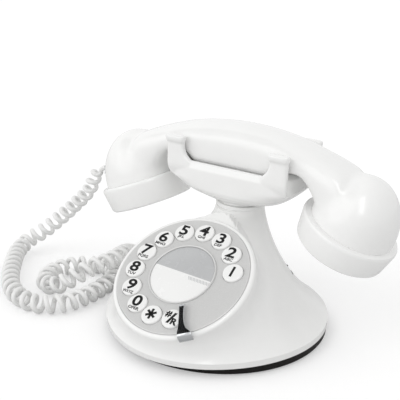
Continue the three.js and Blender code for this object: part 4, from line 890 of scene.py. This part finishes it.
def spaced(line, count):
    """Points at even steps along a line."""
    total = sum((b - a).length for a, b in zip(line, line[1:]))
    points, walked, i = [], 0.0, 0
    for k in range(count + 1):
        goal = total * k / count
        while i < len(line) - 2 and walked + (line[i + 1] - line[i]).length < goal:
            walked += (line[i + 1] - line[i]).length
            i += 1
        step = (line[i + 1] - line[i]).length
        points.append(line[i].lerp(line[i + 1], min((goal - walked) / step, 1)))
    return points, total


plug_y, plug_nose = 62.5, 6.5
wire_width, wire_gap = 3.6, 0.3
centres, coil_length = spaced(through(route, 30), curls * steps)
start = Vector((jack_x - plug_nose - wire_gap, neck_back, jack_z))
end = Vector((-socket_x, plug_y + plug_nose + wire_gap, socket_z))
wire = [start, start + Vector((-wire_width, 0, 0))]
normal = Vector((0, 0, 1))
for i, centre in enumerate(centres):
    along = (centres[min(i + 1, len(centres) - 1)] - centres[max(i - 1, 0)]).normalized()
    normal = (normal - along * normal.dot(along)).normalized()
    across = along.cross(normal)
    walked = i / (curls * steps) * coil_length
    widening = smooth_step(0, 95, walked)
    ease = smooth_step(0, 9, min(walked, coil_length - walked))
    radius = ease * (4 + 1.2 * widening)
    turn = i / steps * 2 * math.pi
    wire.append(centre + normal * radius * math.cos(turn) + across * radius * math.sin(turn))
wire += [*(Vector(p) for p in lead_to_base), end + Vector((0, wire_width, 0)), end]
wire = [standing @ (point * mm) for point in wire]

# White PVC jacket: satin, with a faint drag grain of the extruder about 0.4 mm wide
white_pvc, tree, shader = finish_of("extruded white PVC")
where = add(tree, "ShaderNodeTexCoord").outputs["Object"]
drag = add(tree, "ShaderNodeTexNoise", {"Vector": where, "Scale": 1 / (0.4 * mm), "Detail": 2.0})
dust = add(tree, "ShaderNodeTexNoise", {"Vector": where, "Scale": 1 / (14 * mm), "Detail": 3.0})
tint = add(tree, "ShaderNodeMix", {"Factor": dust.outputs["Fac"], "A": srgb("#e9e9e8"), "B": srgb("#f2f2f1")},
           data_type="RGBA")
bump = add(tree, "ShaderNodeBump", {"Strength": 0.1, "Distance": 0.03 * mm, "Height": drag.outputs["Fac"]})
feed(tree, shader, {"Base Color": tint.outputs["Result"], "Normal": bump.outputs["Normal"],
                    "Roughness": 0.32, "IOR": 1.52})

line = bpy.data.curves.new("curly_cord", "CURVE")
line.dimensions = "3D"
spline = line.splines.new("POLY")
spline.points.add(len(wire) - 1)
for point, place in zip(spline.points, wire):
    point.co = (*place, 1)
line.bevel_depth = wire_width / 2 * mm
line.bevel_resolution = 3
line.use_fill_caps = True
cord = bpy.data.objects.new("curly_cord", line)
bpy.context.collection.objects.link(cord)
only(cord)
bpy.ops.object.convert(target="MESH")
cord = bpy.context.object
cord.data.materials.clear()
cord.data.materials.append(white_pvc)
bpy.ops.object.shade_smooth()
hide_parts("handset_cord")
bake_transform(cord)

# ---------------------------------------------------------------- Plugs and sockets
# Modular plugs moulded of clear polycarbonate, each with its latch, in black sockets:
# one in the mouthpiece's cup and one in the back of the base.

# Clear polycarbonate, moulded: slightly blue-grey and not quite clear
polycarbonate, tree, shader = finish_of("clear polycarbonate")
where = add(tree, "ShaderNodeTexCoord").outputs["Object"]
flow = add(tree, "ShaderNodeTexNoise", {"Vector": where, "Scale": 1 / (2 * mm), "Detail": 2.0})
gloss = add(tree, "ShaderNodeMapRange", {"Value": flow.outputs["Fac"], "To Min": 0.05, "To Max": 0.18})
feed(tree, shader, {"Base Color": srgb("#e4e8ea"), "Roughness": gloss.outputs["Result"], "IOR": 1.58,
                    "Transmission Weight": 0.75})

plug = soften(carve(block("plug", (-3.85, -9, -3.3), (3.85, plug_nose, 3.3)), [
    block("latch_gap", (-4.85, -10, -2.2), (-1.7, 4.5, -1.7)),
    block("latch_gap", (1.7, -10, -2.2), (4.85, 4.5, -1.7))]), 0.2, 2)
plugs = copies(plug, [standing @ at(-socket_x, plug_y, socket_z),
                      tower_place @ at(jack_x, 0, jack_z) @ turned_by(90, "Z")])
for plug, name, body in zip(plugs, ("base_plug", "handset_plug"), ("base", "handset")):
    plug.name = f"{name}_clear"
    settle(plug, Matrix(), polycarbonate, body, [name])

# ---------------------------------------------------------------- Pieces inside
# Boards, ballast, ringer, capsules and sockets keep the plain forms that the frame
# gives them; each gets the finish of the real one.

# Glass-fibre board: green solder mask with copper tracks showing through, about 1.5 mm apart
board, tree, shader = finish_of("solder-masked board")
where = add(tree, "ShaderNodeTexCoord").outputs["Object"]
tracks = add(tree, "ShaderNodeTexBrick", {"Vector": where, "Scale": 1 / (6 * mm),
                                          "Color1": srgb("#1f5c38"), "Color2": srgb("#256a41"),
                                          "Mortar": srgb("#3d8a57"), "Mortar Size": 0.03})
feed(tree, shader, {"Base Color": tracks.outputs["Color"], "Roughness": 0.35})

for nodes, material in (
    (["main_board", "keypad_board"], board),
    (["keypad_sheet"], rubber),
    (["ballast_weight", "handset_weight"], zinc),
    (["line_socket", "cord_socket", "handset_jack", "ringer_switch_housing", "ringer_speaker", "hook_switch",
      "microphone_capsule", "receiver_capsule"], black_abs),
):
    for name in nodes:
        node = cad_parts[name]
        node.data.materials.clear()
        node.data.materials.append(material)
